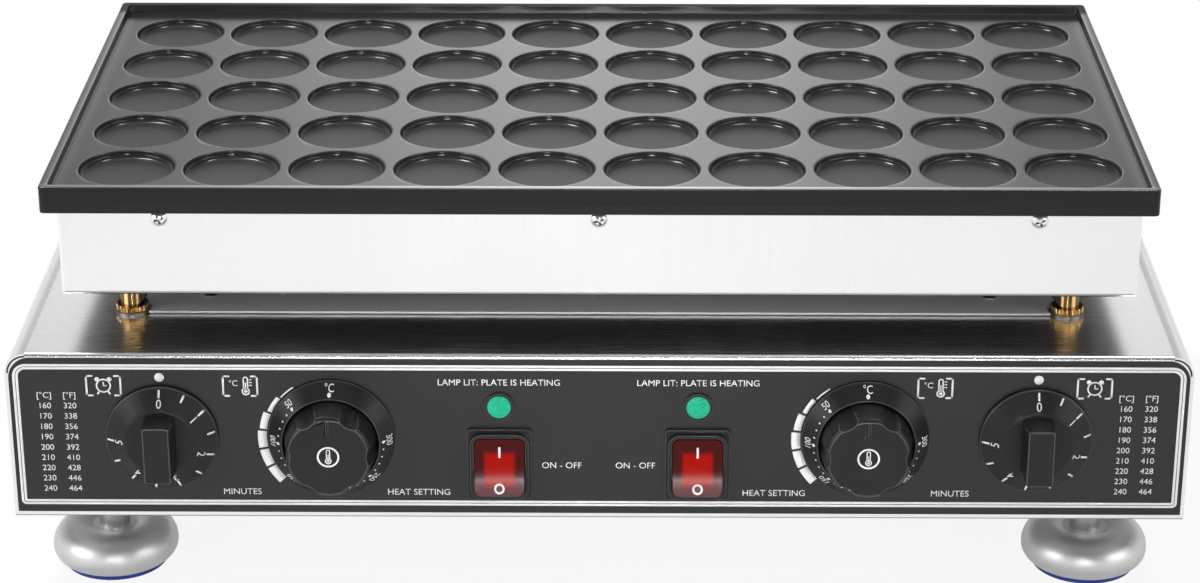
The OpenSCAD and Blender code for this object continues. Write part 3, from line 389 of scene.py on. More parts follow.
def grid_faces(rows, columns, closed=False):
    """Quads of a grid of points stored row by row; closed joins the last column to the first."""
    i = np.arange(rows - 1)[:, None]
    j = np.arange(columns if closed else columns - 1)[None, :]
    k = (j + 1) % columns
    corners = [i * columns + j, i * columns + k, (i + 1) * columns + k, (i + 1) * columns + j]
    return np.stack(corners, axis=-1).reshape(-1, 4)


class Shape:
    """Points and faces of one piece, gathered from several surfaces, in millimetres."""

    def __init__(self):
        self.points = []
        self.faces = []
        self.count = 0

    def add(self, points, faces):
        """Adds a surface: its points, and faces that count from its own first point."""
        points = np.asarray(points, float).reshape(-1, 3)
        self.points.append(points)
        self.faces += [tuple(int(i) + self.count for i in face) for face in faces]
        self.count += len(points)


def make_piece(name, shape, finish, body, smooth_deg=40, closed=True):
    """Turns a shape into an object that rides on a body, with its doubles merged.

    A closed shape's normals are turned outwards, and edges that bend more than smooth_deg stay sharp.
    """
    mesh = bpy.data.meshes.new(name)
    mesh.from_pydata((np.concatenate(shape.points) * MM).tolist(), [], shape.faces)
    work = bmesh.new()
    work.from_mesh(mesh)
    bmesh.ops.remove_doubles(work, verts=work.verts, dist=MERGE_M)
    bmesh.ops.dissolve_degenerate(work, edges=work.edges, dist=SLIVER_M)
    if closed:
        bmesh.ops.recalc_face_normals(work, faces=work.faces)
    work.to_mesh(mesh)
    work.free()
    mesh.shade_smooth()
    mesh.set_sharp_from_angle(angle=math.radians(smooth_deg))
    mesh.materials.append(finish)
    piece = bpy.data.objects.new(name, mesh)
    bpy.context.scene.collection.objects.link(piece)
    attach(piece, body)
    return piece


def arc(centre, radius, start_deg, end_deg, steps):
    """Points of a circular arc in a plane, both ends included."""
    turn = np.radians(np.linspace(start_deg, end_deg, steps + 1))
    return np.stack([centre[0] + radius * np.cos(turn), centre[1] + radius * np.sin(turn)], axis=1)


# Baking plate

MOULD_COLUMNS = 10
MOULD_ROWS = 5
MOULD_PITCH = 50.0
MOULD_R = 22.8
MOULD_DEPTH = 4.0
MOULD_FILLET = 2.6
MOULD_ROLL = 0.7
MOULD_DISH = 0.3
DISH_STEPS = 5
FILLET_STEPS = 8
ROLL_STEPS = 5
SIDE_STEPS = 16
DECK_SHARES = (0.25, 0.6, 1.0)
RIM_W = 4.0
RIM_RISE = 4.5
RIM_ROUND = 0.4
RIM_FILLET = 0.6
EDGE_ROUND = 0.5
EDGE_STEPS = 5
PLATE_R = 2.5
LEAST_R = 0.6
LIP_H = 13.0
SKIRT_INSET = np.array([7.8, 9.8])
SKIRT_T = 9.0
DECK_T = 12.0
CORNER_STEPS = 5


def mould_profile():
    """Radius and depth from a mould's middle to its mouth: a shallow dish, fillet, wall and rolled edge."""
    flat_r = MOULD_R - MOULD_FILLET
    radii = np.linspace(0.0, flat_r, DISH_STEPS + 1)
    floor = np.stack([radii, MOULD_DISH * (radii / flat_r) ** 2 - MOULD_DEPTH], axis=1)
    low = MOULD_DISH - MOULD_DEPTH
    fillet = arc((flat_r, low + MOULD_FILLET), MOULD_FILLET, -90, 0, FILLET_STEPS)
    roll = arc((MOULD_R + MOULD_ROLL, -MOULD_ROLL), MOULD_ROLL, 180, 90, ROLL_STEPS)
    return np.concatenate([floor[1:-1], fillet, roll])


def mould_cell(shape, centre, deck_z):
    """One mould and its square of deck: the profile's rings, then straight lines from mouth to square."""
    half = MOULD_PITCH / 2
    side = np.linspace(-half, half, SIDE_STEPS + 1)[:-1]
    edge = np.full(SIDE_STEPS, half)
    square = np.concatenate([
        np.stack([side, -edge], axis=1),
        np.stack([edge, side], axis=1),
        np.stack([-side, edge], axis=1),
        np.stack([-edge, -side], axis=1),
    ])
    ways = square / np.linalg.norm(square, axis=1)[:, None]
    rings = [np.column_stack([ways * r, np.full(len(ways), z)]) for r, z in mould_profile()]
    mouth = rings[-1]
    rim = np.column_stack([square, np.zeros(len(square))])
    rings += [mouth + (rim - mouth) * share for share in DECK_SHARES]
    columns = len(square)
    place = [*centre, deck_z]
    shape.add(np.concatenate(rings) + place, grid_faces(len(rings), columns, closed=True))
    hub = np.concatenate([rings[0], [[0.0, 0.0, -MOULD_DEPTH]]])
    fan = [(columns, j, (j + 1) % columns) for j in range(columns)]
    shape.add(hub + place, fan)


def round_loop(half_x, half_y, radius, z):
    """A rectangle with round corners, with as many points on each side as the moulds' squares have."""
    along_x = np.linspace(-1, 1, MOULD_COLUMNS * SIDE_STEPS + 1)
    along_y = np.linspace(-1, 1, MOULD_ROWS * SIDE_STEPS + 1)
    flat_x = half_x - radius
    flat_y = half_y - radius
    inner = [(1, -1, -90), (1, 1, 0), (-1, 1, 90), (-1, -1, 180)]
    bends = [arc((sx * flat_x, sy * flat_y), radius, a, a + 90, CORNER_STEPS)[1:-1] for sx, sy, a in inner]
    front = np.stack([along_x * flat_x, np.full(len(along_x), -half_y)], axis=1)
    right = np.stack([np.full(len(along_y), half_x), along_y * flat_y], axis=1)
    loop = np.concatenate([front, bends[0], right, bends[1], -front, bends[2], -right, bends[3]])
    return np.column_stack([loop, np.full(len(loop), z)])


def cast_plate(finish):
    """The moulds' squares, then loops from the deck over the rim, down the band and round the skirt."""
    low, high = box("baking_plate")
    half = (high - low)[:2] / 2
    centre = (high + low)[:2] / 2
    rim_z = high[2]
    deck_z = rim_z - RIM_RISE
    lip_z = rim_z - LIP_H
    under_z = deck_z - DECK_T
    shape = Shape()
    for i in range(MOULD_COLUMNS):
        for j in range(MOULD_ROWS):
            spot = np.array([i - (MOULD_COLUMNS - 1) / 2, j - (MOULD_ROWS - 1) / 2]) * MOULD_PITCH
            mould_cell(shape, centre + spot, deck_z)
    inner = RIM_W + RIM_FILLET
    fillet = arc((inner, deck_z + RIM_FILLET), RIM_FILLET, 270, 180, EDGE_STEPS)
    inside = arc((RIM_W - RIM_ROUND, rim_z - RIM_ROUND), RIM_ROUND, 0, 90, EDGE_STEPS - 1)
    outside = arc((EDGE_ROUND, rim_z - EDGE_ROUND), EDGE_ROUND, 90, 180, EDGE_STEPS)
    below = arc((EDGE_ROUND, lip_z + EDGE_ROUND), EDGE_ROUND, 180, 270, EDGE_STEPS)
    moulds_half = np.array([MOULD_COLUMNS, MOULD_ROWS]) * MOULD_PITCH / 2
    loops = [round_loop(*moulds_half, 0.0, deck_z)]
    for inset, z in np.concatenate([fillet, inside, outside, below]):
        loops.append(round_loop(*(half - inset), max(PLATE_R - inset, LEAST_R), z))
    skirt = [(0.0, lip_z), (0.0, low[2]), (SKIRT_T, low[2]), (SKIRT_T, under_z)]
    for inset, z in skirt:
        loops.append(round_loop(*(half - SKIRT_INSET - inset), LEAST_R, z))
    columns = len(loops[0])
    place = [*centre, 0.0]
    shape.add(np.concatenate(loops) + place, grid_faces(len(loops), columns, closed=True))
    shape.add(loops[-1] + place, [range(columns)])
    piece = make_piece("baking_plate_cast", shape, finish, "cooker", smooth_deg=50)
    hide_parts("baking_plate")


# Lamp lenses

LENS_FACET = 1.25
LENS_RELIEF = 0.45
LENS_DOME = 1.8
LENS_RINGS = 45
LENS_SPOKES = 180
LENS_PLAIN_SHARE = 1 / 12


def cut_lens(side, finish):
    """A dome of facets: height falls with the radius squared, less a zig-zag along both diagonals.

    The zig-zag dies away over the outer LENS_PLAIN_SHARE of the radius.
    """
    node = f"lamp_lens_{side}"
    low, high = box(node)
    centre = middle(node)
    radius = (high[0] - low[0]) / 2
    rings = np.linspace(0.0, 1.0, LENS_RINGS)[:, None]
    turn = np.linspace(0, 2 * math.pi, LENS_SPOKES, endpoint=False)[None, :]
    x = radius * rings * np.cos(turn)
    z = radius * rings * np.sin(turn)
    first = np.abs((x + z) / LENS_FACET / math.sqrt(2) % 1 - 0.5)
    second = np.abs((x - z) / LENS_FACET / math.sqrt(2) % 1 - 0.5)
    fade = np.clip((1 - rings) / LENS_PLAIN_SHARE, 0, 1)
    sink = LENS_DOME * rings**2 + LENS_RELIEF * (first + second) * fade
    front = np.stack([centre[0] + x, low[1] + sink, centre[2] + z], axis=-1)
    back = front[-1].copy()
    back[:, 1] = high[1]
    points = np.concatenate([front.reshape(-1, 3), back])
    shape = Shape()
    shape.add(points, grid_faces(LENS_RINGS + 1, LENS_SPOKES, closed=True))
    shape.add(back, [range(LENS_SPOKES)])
    piece = make_piece(f"lens_cut_{side}", shape, finish, "cooker", smooth_deg=12)
    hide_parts(node)


# Printing: flat parts are lists of plane points and faces, drawn with x to the right and y up

INK_T = 0.05
INK_LIFT = 0.01
CURVE_LIFT = 0.04
LEAST_BEND = 0.3
CAPITAL_SHARE = 0.73


def disc(radius, steps=40):
    """A filled circle."""
    return arc((0, 0), radius, 0, 360, steps)[:-1], [tuple(range(steps))]


def sector(inner, outer, start_deg, end_deg, steps=12):
    """A piece of a ring; angles run counter-clockwise from the right."""
    edges = [arc((0, 0), radius, start_deg, end_deg, steps) for radius in (inner, outer)]
    return np.concatenate(edges), grid_faces(2, steps + 1)[:, ::-1]


def ring(inner, outer, steps=48):
    """A whole ring."""
    points = np.concatenate([arc((0, 0), r, 0, 360, steps)[:-1] for r in (inner, outer)])
    return points, grid_faces(2, steps, closed=True)[:, ::-1]


def bar(wide, tall):
    """A filled rectangle about its middle."""
    w, h = wide / 2, tall / 2
    return np.array([[-w, -h], [w, -h], [w, h], [-w, h]]), [(0, 1, 2, 3)]


def frame_line(half, high_radius, low_radius, wide):
    """A band of even width inside a rectangle whose upper and lower corners have their own radius."""
    def outline(inset):
        corners = []
        for quarter, (sx, sy) in enumerate(((1, 1), (-1, 1), (-1, -1), (1, -1))):
            bend = max((high_radius if sy > 0 else low_radius) - inset, LEAST_BEND)
            centre = (half - inset - bend) * (sx, sy)
            corners.append(arc(centre, bend, 90 * quarter, 90 * quarter + 90, 8))
        return np.concatenate(corners)
    loops = [outline(wide), outline(0.0)]
    return np.concatenate(loops), grid_faces(2, len(loops[0]), closed=True)[:, ::-1]


def words(text, tall):
    """Plain lettering with capitals of the given height, centred on its middle."""
    curve = bpy.data.curves.new("words", "FONT")
    curve.body = text
    curve.size = tall / CAPITAL_SHARE
    curve.align_x = "CENTER"
    curve.resolution_u = 4
    carrier = bpy.data.objects.new("words", curve)
    bpy.context.scene.collection.objects.link(carrier)
    flat = carrier.evaluated_get(bpy.context.evaluated_depsgraph_get()).to_mesh()
    points = np.array([v.co[:2] for v in flat.vertices]).reshape(-1, 2)
    faces = [tuple(p.vertices) for p in flat.polygons]
    bpy.data.objects.remove(carrier)
    bpy.data.curves.remove(curve)
    return points - [0.0, tall / 2], faces


def at(part, x=0.0, y=0.0, turn_deg=0.0):
    """A flat part turned counter-clockwise, then moved."""
    points, faces = part
    c, s = math.cos(math.radians(turn_deg)), math.sin(math.radians(turn_deg))
    return points @ np.array([[c, s], [-s, c]]) + [x, y], faces


def on_dial(part, radius, clock_deg):
    """A flat part set on a dial at a clock angle, with its top outwards."""
    turn = math.radians(90 - clock_deg)
    return at(part, radius * math.cos(turn), radius * math.sin(turn), -clock_deg)


def front_face(origin, proud=None):
    """Places plane points on a face that looks to the front.

    proud, where it is given, says how far the face stands out at each radius.
    """
    def place(points):
        out = np.full(len(points), INK_LIFT)
        if proud is not None:
            out = proud(np.linalg.norm(points, axis=1)) + CURVE_LIFT
        return np.column_stack([points[:, 0], -out, points[:, 1]]) + origin
    return place


def print_on(name, parts, place, finish, body):
    """Flat parts laid on a face as thin raised ink; place turns plane points into points on that face."""
    shape = Shape()
    for points, faces in parts:
        shape.add(place(points), faces)
    piece = make_piece(name, shape, finish, body, closed=False)
    skin = piece.modifiers.new("ink", "SOLIDIFY")
    skin.thickness = INK_T * MM
    skin.offset = 1.0
    return piece


def bracketed(parts, wide=17.0, tall=11.0, stroke=0.9, arm=3.6):
    """Parts between square brackets."""
    made = list(parts)
    for side in (-1, 1):
        made.append(at(bar(stroke, tall), side * (wide - stroke) / 2))
        for y in (-1, 1):
            made.append(at(bar(arm, stroke), side * (wide - arm) / 2, y * (tall - stroke) / 2))
    return made


def clock_sign():
    """An alarm clock: a ring with two hands, two bells and two feet."""
    parts = [ring(2.9, 3.6), at(bar(0.6, 2.2), 0.0, 0.9), at(bar(1.8, 0.6), 0.7, 0.0)]
    for side in (-1, 1):
        parts.append(at(disc(1.15, 20), side * 2.9, 3.3))
        parts.append(at(bar(0.8, 2.0), side * 2.5, -3.6, side * 35))
    return parts


def thermometer_sign(scale):
    """A thermometer, drawn and then scaled: a ringed bulb, two walls with a round top, a column inside."""
    parts = [
        at(ring(1.15, 1.75, 28), 0.0, -2.4),
        at(disc(0.75, 20), 0.0, -2.4),
        at(bar(0.55, 4.4), -0.85, 1.0),
        at(bar(0.55, 4.4), 0.85, 1.0),
        at(sector(0.57, 1.12, 0, 180), 0.0, 3.2),
        at(bar(0.45, 3.4), 0.0, -0.2),
    ]
    return [(points * scale, faces) for points, faces in parts]


def heat_sign():
    """A thermometer between a degree letter and three scale lines."""
    parts = [at(part, 2.6) for part in thermometer_sign(1.15)]
    parts.append(at(words("°C", 3.0), -3.2, 1.6))
    for y in (0.4, 1.9, 3.4):
        parts.append(at(bar(1.3, 0.5), 4.9, y))
    return parts


def moved(parts, x, y):
    """All parts of a sign, moved."""
    return [at(part, x, y) for part in parts]


TABLE_START_C = 160
TABLE_STEP_C = 10
TABLE_ROWS = 9
TABLE_PITCH = 5.45
TABLE_TOP = 103.6
TABLE_COLUMN = 12.0
DIGIT_H = 3.1
LABEL_H = 3.3


def heat_table(x):
    """Two columns of plain numbers: degrees Celsius in tens and the same in Fahrenheit."""
    parts = []
    columns = [(-TABLE_COLUMN / 2, "[°C]"), (TABLE_COLUMN / 2, "[°F]")]
    for shift, head in columns:
        parts.append(at(words(head, DIGIT_H), x + shift, TABLE_TOP + TABLE_PITCH))
    for row in range(TABLE_ROWS):
        celsius = TABLE_START_C + TABLE_STEP_C * row
        values = [celsius, round(celsius * 9 / 5 + 32)]
        for (shift, _), value in zip(columns, values):
            parts.append(at(words(str(value), DIGIT_H), x + shift, TABLE_TOP - row * TABLE_PITCH))
    return parts


WEDGE_BLOCKS = 6
WEDGE_GROWING = 3
WEDGE_START = 124.0
WEDGE_SWEEP = 16.9
WEDGE_GAP = 2.0
WEDGE_INNER = 30.9
WEDGE_W = 4.3


def heat_wedge():
    """Blocks beside a thermostat: the first WEDGE_GROWING widen counter-clockwise, the rest are full."""
    parts = []
    for block in range(WEDGE_BLOCKS):
        start = WEDGE_START + block * WEDGE_SWEEP
        outer = WEDGE_INNER + WEDGE_W * min(1.0, (block + 0.5) / WEDGE_GROWING)
        parts.append(sector(WEDGE_INNER, outer, start, start + WEDGE_SWEEP - WEDGE_GAP))
    return parts


FRAME_MID_Z = 88.1
FRAME_HALF = np.array([276.3, 36.9])
FRAME_STROKE = 1.2
FRAME_STEP = 1.5
FRAME_HIGH_R = 6.4
FRAME_LOW_R = 2.4
INDEX_DOT_R = 2.25
INDEX_DOT_Z = 118.3
SIGN_Z = 113.9
CLOCK_SIGN_X = 233.5
HEAT_SIGN_X = (-169.0, 158.5)
TABLE_X = (-256.0, 254.8)
LABEL_LOW_Z = 58.6
MINUTES_X = (-170.2, 167.6)
HEAT_LABEL_X = (-85.8, 83.6)
LAMP_LABEL_Z = 116.3
SWITCH_LABEL_X = 17.5
SWITCH_LABEL_Z = 73.0


def print_panel(white, face_y):
    """Everything printed on the control overlay: frame lines, index dots, signs, heat tables and labels."""
    timer_x = middle("timer_knob_right")[0]
    heat_x, _, heat_z = middle("thermostat_knob_right")
    switch_x = middle("rocker_right")[0]
    parts = []
    for step in range(2):
        inset = step * FRAME_STEP
        line = frame_line(FRAME_HALF - inset, FRAME_HIGH_R - inset, FRAME_LOW_R - inset, FRAME_STROKE)
        parts.append(at(line, 0.0, FRAME_MID_Z))
    for side in (-1, 1):
        parts.append(at(disc(INDEX_DOT_R), side * timer_x, INDEX_DOT_Z))
        parts += moved(bracketed(clock_sign()), side * CLOCK_SIGN_X, SIGN_Z)
        parts += moved(heat_wedge(), side * heat_x, heat_z)
        parts.append(at(words("LAMP LIT: PLATE IS HEATING", LABEL_H), side * switch_x, LAMP_LABEL_Z))
        parts.append(at(words("ON - OFF", LABEL_H), side * SWITCH_LABEL_X, SWITCH_LABEL_Z))
    for x in HEAT_SIGN_X:
        parts += moved(bracketed(heat_sign()), x, SIGN_Z)
    for x in TABLE_X:
        parts += heat_table(x)
    for label, places in (("MINUTES", MINUTES_X), ("HEAT SETTING", HEAT_LABEL_X)):
        parts += [at(words(label, LABEL_H), x, LABEL_LOW_Z) for x in places]
    print_on("panel_print", parts, front_face([0.0, face_y, 0.0]), white, "cooker")


TIMER_MINUTES = 5
TIMER_STEP_DEG = 54.0
TIMER_LINE = (0.95, 3.4)
TIMER_LINE_R = 24.0
TIMER_DIGIT_H = 3.9
TIMER_DIGIT_R = 20.0
TIMER_EDGE_T = 1.4
TIMER_RISE = 0.5825


def print_timer(side, white):
    """The conical dial's minutes: a line and a digit at each, and a line half way to the next."""
    knob = f"timer_knob_{side}"
    low, high = box(knob)
    radius = (high[0] - low[0]) / 2
    halves = [TIMER_STEP_DEG * k / 2 for k in range(2 * TIMER_MINUTES + 1)]
    parts = [on_dial(bar(*TIMER_LINE), TIMER_LINE_R, clock) for clock in halves]
    for digit in range(TIMER_MINUTES + 1):
        parts.append(on_dial(words(str(digit), TIMER_DIGIT_H), TIMER_DIGIT_R, TIMER_STEP_DEG * digit))
    edge = [middle(knob)[0], high[1] - TIMER_EDGE_T, middle(knob)[2]]
    cone = front_face(edge, lambda r: TIMER_RISE * (radius - r))
    print_on(f"timer_print_{side}", parts, cone, white, f"timer_dial_{side}")


HEAT_STEP_C = 50
HEAT_STEP_DEG = 45.3
HEAT_STEPS = 6
HEAT_TENS = 5
HEAT_DOT_R = 25.0
TOP_DOT_R = 0.9
FIFTY_DOT_R = 0.75
TEN_DOT_R = 0.42
HEAT_LETTER_H = 3.2
HEAT_DIGIT_H = 2.8
HEAT_DIGIT_R = 27.7
RING_EDGE_T = 1.6
RING_RISE = 0.9928


def print_thermostat(side, white):
    """Degrees on the conical ring, counter-clockwise from the top: large dots at fifties, small at tens."""
    dial = f"thermostat_dial_{side}"
    low, high = box(dial)
    radius = (high[0] - low[0]) / 2
    parts = [on_dial(words("°C", HEAT_LETTER_H), HEAT_DIGIT_R, 0)]
    parts.append(on_dial(disc(TOP_DOT_R, 20), HEAT_DOT_R, 0))
    for step in range(1, HEAT_STEPS + 1):
        clock = -step * HEAT_STEP_DEG
        parts.append(on_dial(words(str(HEAT_STEP_C * step), HEAT_DIGIT_H), HEAT_DIGIT_R, clock))
        parts.append(on_dial(disc(FIFTY_DOT_R, 16), HEAT_DOT_R, clock))
        if step < HEAT_STEPS:
            tens = [clock - HEAT_STEP_DEG * k / HEAT_TENS for k in range(1, HEAT_TENS)]
            parts += [on_dial(disc(TEN_DOT_R, 10), HEAT_DOT_R, ten) for ten in tens]
    edge = [middle(dial)[0], high[1] - RING_EDGE_T, middle(dial)[2]]
    cone = front_face(edge, lambda r: RING_RISE * (radius - r))
    print_on(f"thermostat_print_{side}", parts, cone, white, "cooker")


KNOB_DISH_R = 55.0
KNOB_DISH_H = 1.1
KNOB_POINTER_H = 0.4
KNOB_RING = (4.4, 5.3)
KNOB_SIGN_SCALE = 0.9


def print_knob(side, white):
    """A thermometer in a ring on the thermostat knob's hollow face, part of a sphere."""
    knob = f"thermostat_knob_{side}"
    front_y = box(knob)[0][1]
    parts = [ring(*KNOB_RING)] + thermometer_sign(KNOB_SIGN_SCALE)
    deepest = [middle(knob)[0], front_y + KNOB_POINTER_H + KNOB_DISH_H, middle(knob)[2]]
    hollow = front_face(deepest, lambda r: r**2 / (2 * KNOB_DISH_R))
    print_on(f"knob_print_{side}", parts, hollow, white, f"thermostat_grip_{side}")


ROCKER_TILT = math.radians(12.0)
ROCKER_MIDDLE = 3.3
ROCKER_HOLLOW_R = 40.0
ON_MARK = (1.0, 5.4, 7.0)
OFF_MARK = (1.5, 2.5, -10.6)
MARK_ROWS = 8


def rocker_face(side):
    """Places plane points on a rocker's hollow front: a circle's depth at each height, then its tilt."""
    joints = {joint["name"]: joint for joint in frame["record"]["behaviour"]["joints"]}
    pivot = np.array(joints[f"switch_{side}_rock"]["pos_m"]) / MM

    def place(points):
        up = points[:, 1]
        out = ROCKER_MIDDLE + ROCKER_HOLLOW_R - np.sqrt(ROCKER_HOLLOW_R**2 - up**2) + INK_LIFT
        high = up * math.cos(ROCKER_TILT) + out * math.sin(ROCKER_TILT)
        proud = out * math.cos(ROCKER_TILT) - up * math.sin(ROCKER_TILT)
        return np.column_stack([points[:, 0], -proud, high]) + pivot
    return place


def print_rocker(side, white):
    """A line for on and a ring for off on a rocker; the line has rows of points, to follow the hollow."""
    wide, tall, line_y = ON_MARK
    inner, outer, ring_y = OFF_MARK
    up = np.linspace(-tall / 2, tall / 2, MARK_ROWS)
    edges = [np.column_stack([np.full(MARK_ROWS, x), up]) for x in (wide / 2, -wide / 2)]
    line = np.concatenate(edges), grid_faces(2, MARK_ROWS)
    parts = [at(line, 0.0, line_y), at(ring(inner, outer), 0.0, ring_y)]
    print_on(f"rocker_print_{side}", parts, rocker_face(side), white, f"switch_rocker_{side}")


# Which finish each solid gets

SIDES = ("left", "right")
FOOT_CORNERS = [f"{row}_{side}" for row in ("front", "rear") for side in SIDES]
STANDOFF_R = 5.5
# Heights of the painted shade under the housing's flange and along the cover's bottom edge
SHADED_FLANGE_H = 0.7
SHADED_EDGE_H = 0.35


def paired(*stems):
    """The left and right node of each stem."""
    return [f"{stem}_{side}" for stem in stems for side in SIDES]


def dress_solids():
    """Gives each solid its finish; the controls' rounded copies take theirs from it."""
    foot = middle("foot_front_right")
    rear_foot = middle("foot_rear_right")
    foot_mid_y = (foot[1] + rear_foot[1]) / 2 * MM
    foot_x = foot[0] * MM
    foot_y = (rear_foot[1] - foot[1]) / 2 * MM
    stand_low, stand_high = box("standoffs")
    stand_x = (stand_high[0] - STANDOFF_R) * MM
    stand_y = ((stand_high[1] - stand_low[1]) / 2 - STANDOFF_R) * MM
    stand_mid = (stand_high[1] + stand_low[1]) / 2 * MM
    black = moulded("black_plastic", grey(0.009), grey(0.013), 0.36, level=0.27)
    steel_dull = plated("bare_steel", grey(0.5), grey(0.6), 0.38)
    # Painted shade: the housing floor is made near black to stand in for the shade under the head
    shade_dark = plated("heat_darkened", grey(0.04, 0.1), grey(0.07, 0.1), 0.55)
    shield = moulded("shield_grey", grey(0.6), grey(0.67), 0.6, 0.6)
    # Nickel screws with painted shade in their recesses
    screw = plated("nickel", grey(0.74, 0.02), grey(0.86, 0.02), 0.2, painted_shade_mm=1.2)
    heater = plated("heater_sheath", grey(0.1, 0.1), grey(0.18, 0.06), 0.5)
    copper = plated("copper", (0.72, 0.36, 0.22, 1), (0.84, 0.46, 0.3, 1), 0.3)
    brass = turned("brass", (0.36, 0.23, 0.09, 1), (0.47, 0.33, 0.15, 1), 0.14, stand_x, stand_y, stand_mid)
    pearl = turned("foot_steel", grey(0.58), grey(0.68), 0.42, foot_x, foot_y, foot_mid_y)
    ceramic = moulded("ceramic", (0.72, 0.68, 0.58, 1), (0.8, 0.76, 0.66, 1), 0.4)
    board = moulded("insulation", (0.62, 0.58, 0.5, 1), (0.72, 0.68, 0.6, 1), 0.8, 1.2, 0.2)
    rubber = moulded("blue_rubber", (0.01, 0.03, 0.24, 1), (0.015, 0.05, 0.32, 1), 0.5)
    film = moulded("overlay_film", grey(0.012), grey(0.017), 0.34, 0.25, 0.01, 0.4)
    # Painted shade on the underside of the upper housing's flange
    painted_shade_z = box("upper_housing")[0][2] + SHADED_FLANGE_H
    upright = brushed("brushed_upright", 0.86, 0.3, (2400, 2400, 12), painted_shade_z)
    # Painted shade: a thin dark line along the lower cover's bottom edge
    edge_shade_z = box("lower_cover")[0][2] + SHADED_EDGE_H
    lengthwise = brushed("brushed_lengthwise", 0.8, 0.26, (9, 2200, 2200), edge_shade_z)
    groups = [
        (upright, ["upper_housing"]),
        (lengthwise, ["lower_cover"]),
        (shield, ["heat_shield"]),
        (shade_dark, ["housing_floor"]),
        (steel_dull, ["rear_panel", "base_plate", "heater_clamps", "bulb_clips"]),
        (screw, ["housing_screws", "panel_screws", "clamp_bolts", "control_screws", "foot_nuts"]),
        (screw, ["standoff_locknuts"] + paired("timer_shaft", "thermostat_shaft")),
        (heater, paired("heater")),
        (copper, paired("sensor")),
        (brass, ["standoffs", "standoff_nuts"]),
        (plated("washer_steel", grey(0.18, 0.08), grey(0.26, 0.08), 0.4), ["standoff_washers"]),
        (pearl, [f"foot_{corner}" for corner in FOOT_CORNERS]),
        (rubber, [f"pad_{corner}" for corner in FOOT_CORNERS]),
        (film, ["control_overlay"]),
        (black, paired("timer_knob", "thermostat_knob", "thermostat_dial", "switch", "lamp", "timer")),
        (black, ["cable_gland", "gland_nut"]),
        (ceramic, ["terminal_block"] + paired("thermostat")),
        (board, ["insulation_board"]),
        (rocker_plastic("rocker_red_left", "rocker_left"), ["rocker_left"]),
        (rocker_plastic("rocker_red_right", "rocker_right"), ["rocker_right"]),
    ]
    for finish, nodes in groups:
        for node in nodes:
            mesh = frame["nodes"][node].data
            mesh.materials.clear()
            mesh.materials.append(finish)


# Rounded edges

GRIP_EDGE = 0.6
TRIM_EDGE = 0.35
TINY_EDGE = 0.15
FLAT_DEG = 0.5
CREASE_DEG = 25
EDGE_DEG = 40


def soften(node, body, highlight_finish, radius):
    """A copy of a moulded solid with bevelled outer edges: doubles merged and flat faces joined first.

    Edges that turn more than CREASE_DEG are eased, and the bevels of those past EDGE_DEG take a lighter,
    glossier finish, a painted highlight.
    """
    mesh = frame["nodes"][node].data.copy()
    mesh.name = f"{node}_soft"
    work = bmesh.new()
    work.from_mesh(mesh)
    bmesh.ops.remove_doubles(work, verts=work.verts, dist=MERGE_M)
    flat = math.radians(FLAT_DEG)
    bmesh.ops.dissolve_limit(work, angle_limit=flat, verts=work.verts, edges=work.edges)
    bmesh.ops.dissolve_degenerate(work, dist=TINY_EDGE * MM, edges=work.edges)
    for face in work.faces:
        face.smooth = True
    eased = work.edges.layers.float.new("eased")
    rubbed = work.edges.layers.float.new("rubbed")
    for edge in work.edges:
        turn_deg = math.degrees(edge.calc_face_angle_signed(0.0))
        edge[eased] = float(CREASE_DEG < turn_deg <= EDGE_DEG)
        edge[rubbed] = float(turn_deg > EDGE_DEG)
    work.to_mesh(mesh)
    work.free()
    mesh.set_sharp_from_angle(angle=math.radians(CREASE_DEG))
    mesh.materials.append(highlight_finish)
    piece = bpy.data.objects.new(f"{node}_soft", mesh)
    bpy.context.scene.collection.objects.link(piece)
    # The bevels of the sharpest edges take the lighter material, a painted highlight
    for weight, material in (("eased", -1), ("rubbed", 1)):
        bevel = piece.modifiers.new(weight, "BEVEL")
        bevel.width = radius * MM
        bevel.segments = 2
        bevel.limit_method = "WEIGHT"
        bevel.edge_weight = weight
        bevel.harden_normals = True
        bevel.use_clamp_overlap = False
        bevel.material = material
    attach(piece, body)
    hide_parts(node)


def soften_controls(side, highlight_finish):
    """The moulded controls of one side, bevelled along their edges, with a painted highlight on the sharpest
    ones.
    """
    soften(f"timer_knob_{side}", f"timer_dial_{side}", highlight_finish, GRIP_EDGE)
    soften(f"thermostat_knob_{side}", f"thermostat_grip_{side}", highlight_finish, TRIM_EDGE)
    for stem in ("thermostat_dial", "lamp", "switch"):
        soften(f"{stem}_{side}", "cooker", highlight_finish, TRIM_EDGE)


# Studio

FLOOR_SEEN = 0.88
FLOOR_GLOSS = 0.35
FLOOR_REACH = 6.0


def floor_paint():
    """White floor that keeps a soft shadow: mostly plain white straight on, less so in gloss."""
    made = Finish("floor", base_color=grey(0.9), roughness=0.9)
    straight, gloss, clear = made.rays()
    white = (FLOOR_SEEN * straight.most(clear)).most(FLOOR_GLOSS * gloss)
    glow = made.add("Emission", None, {"Color": grey(1.0), "Strength": 1.0})
    shown = made.add("MixShader", None, {0: white, 1: Tone(made, made.shader.outputs[0]), 2: glow})
    output = made.tree.nodes["Material Output"]
    made.feed(output.inputs["Surface"], shown)
    return made.material


def add_floor():
    """A large plane under the feet."""
    mesh = bpy.data.meshes.new("floor")
    signs = [(-1, -1), (1, -1), (1, 1), (-1, 1)]
    mesh.from_pydata([(x * FLOOR_REACH, y * FLOOR_REACH, 0) for x, y in signs], [], [(0, 1, 2, 3)])
    mesh.materials.append(floor_paint())
    floor = bpy.data.objects.new("floor", mesh)
    bpy.context.scene.collection.objects.link(floor)


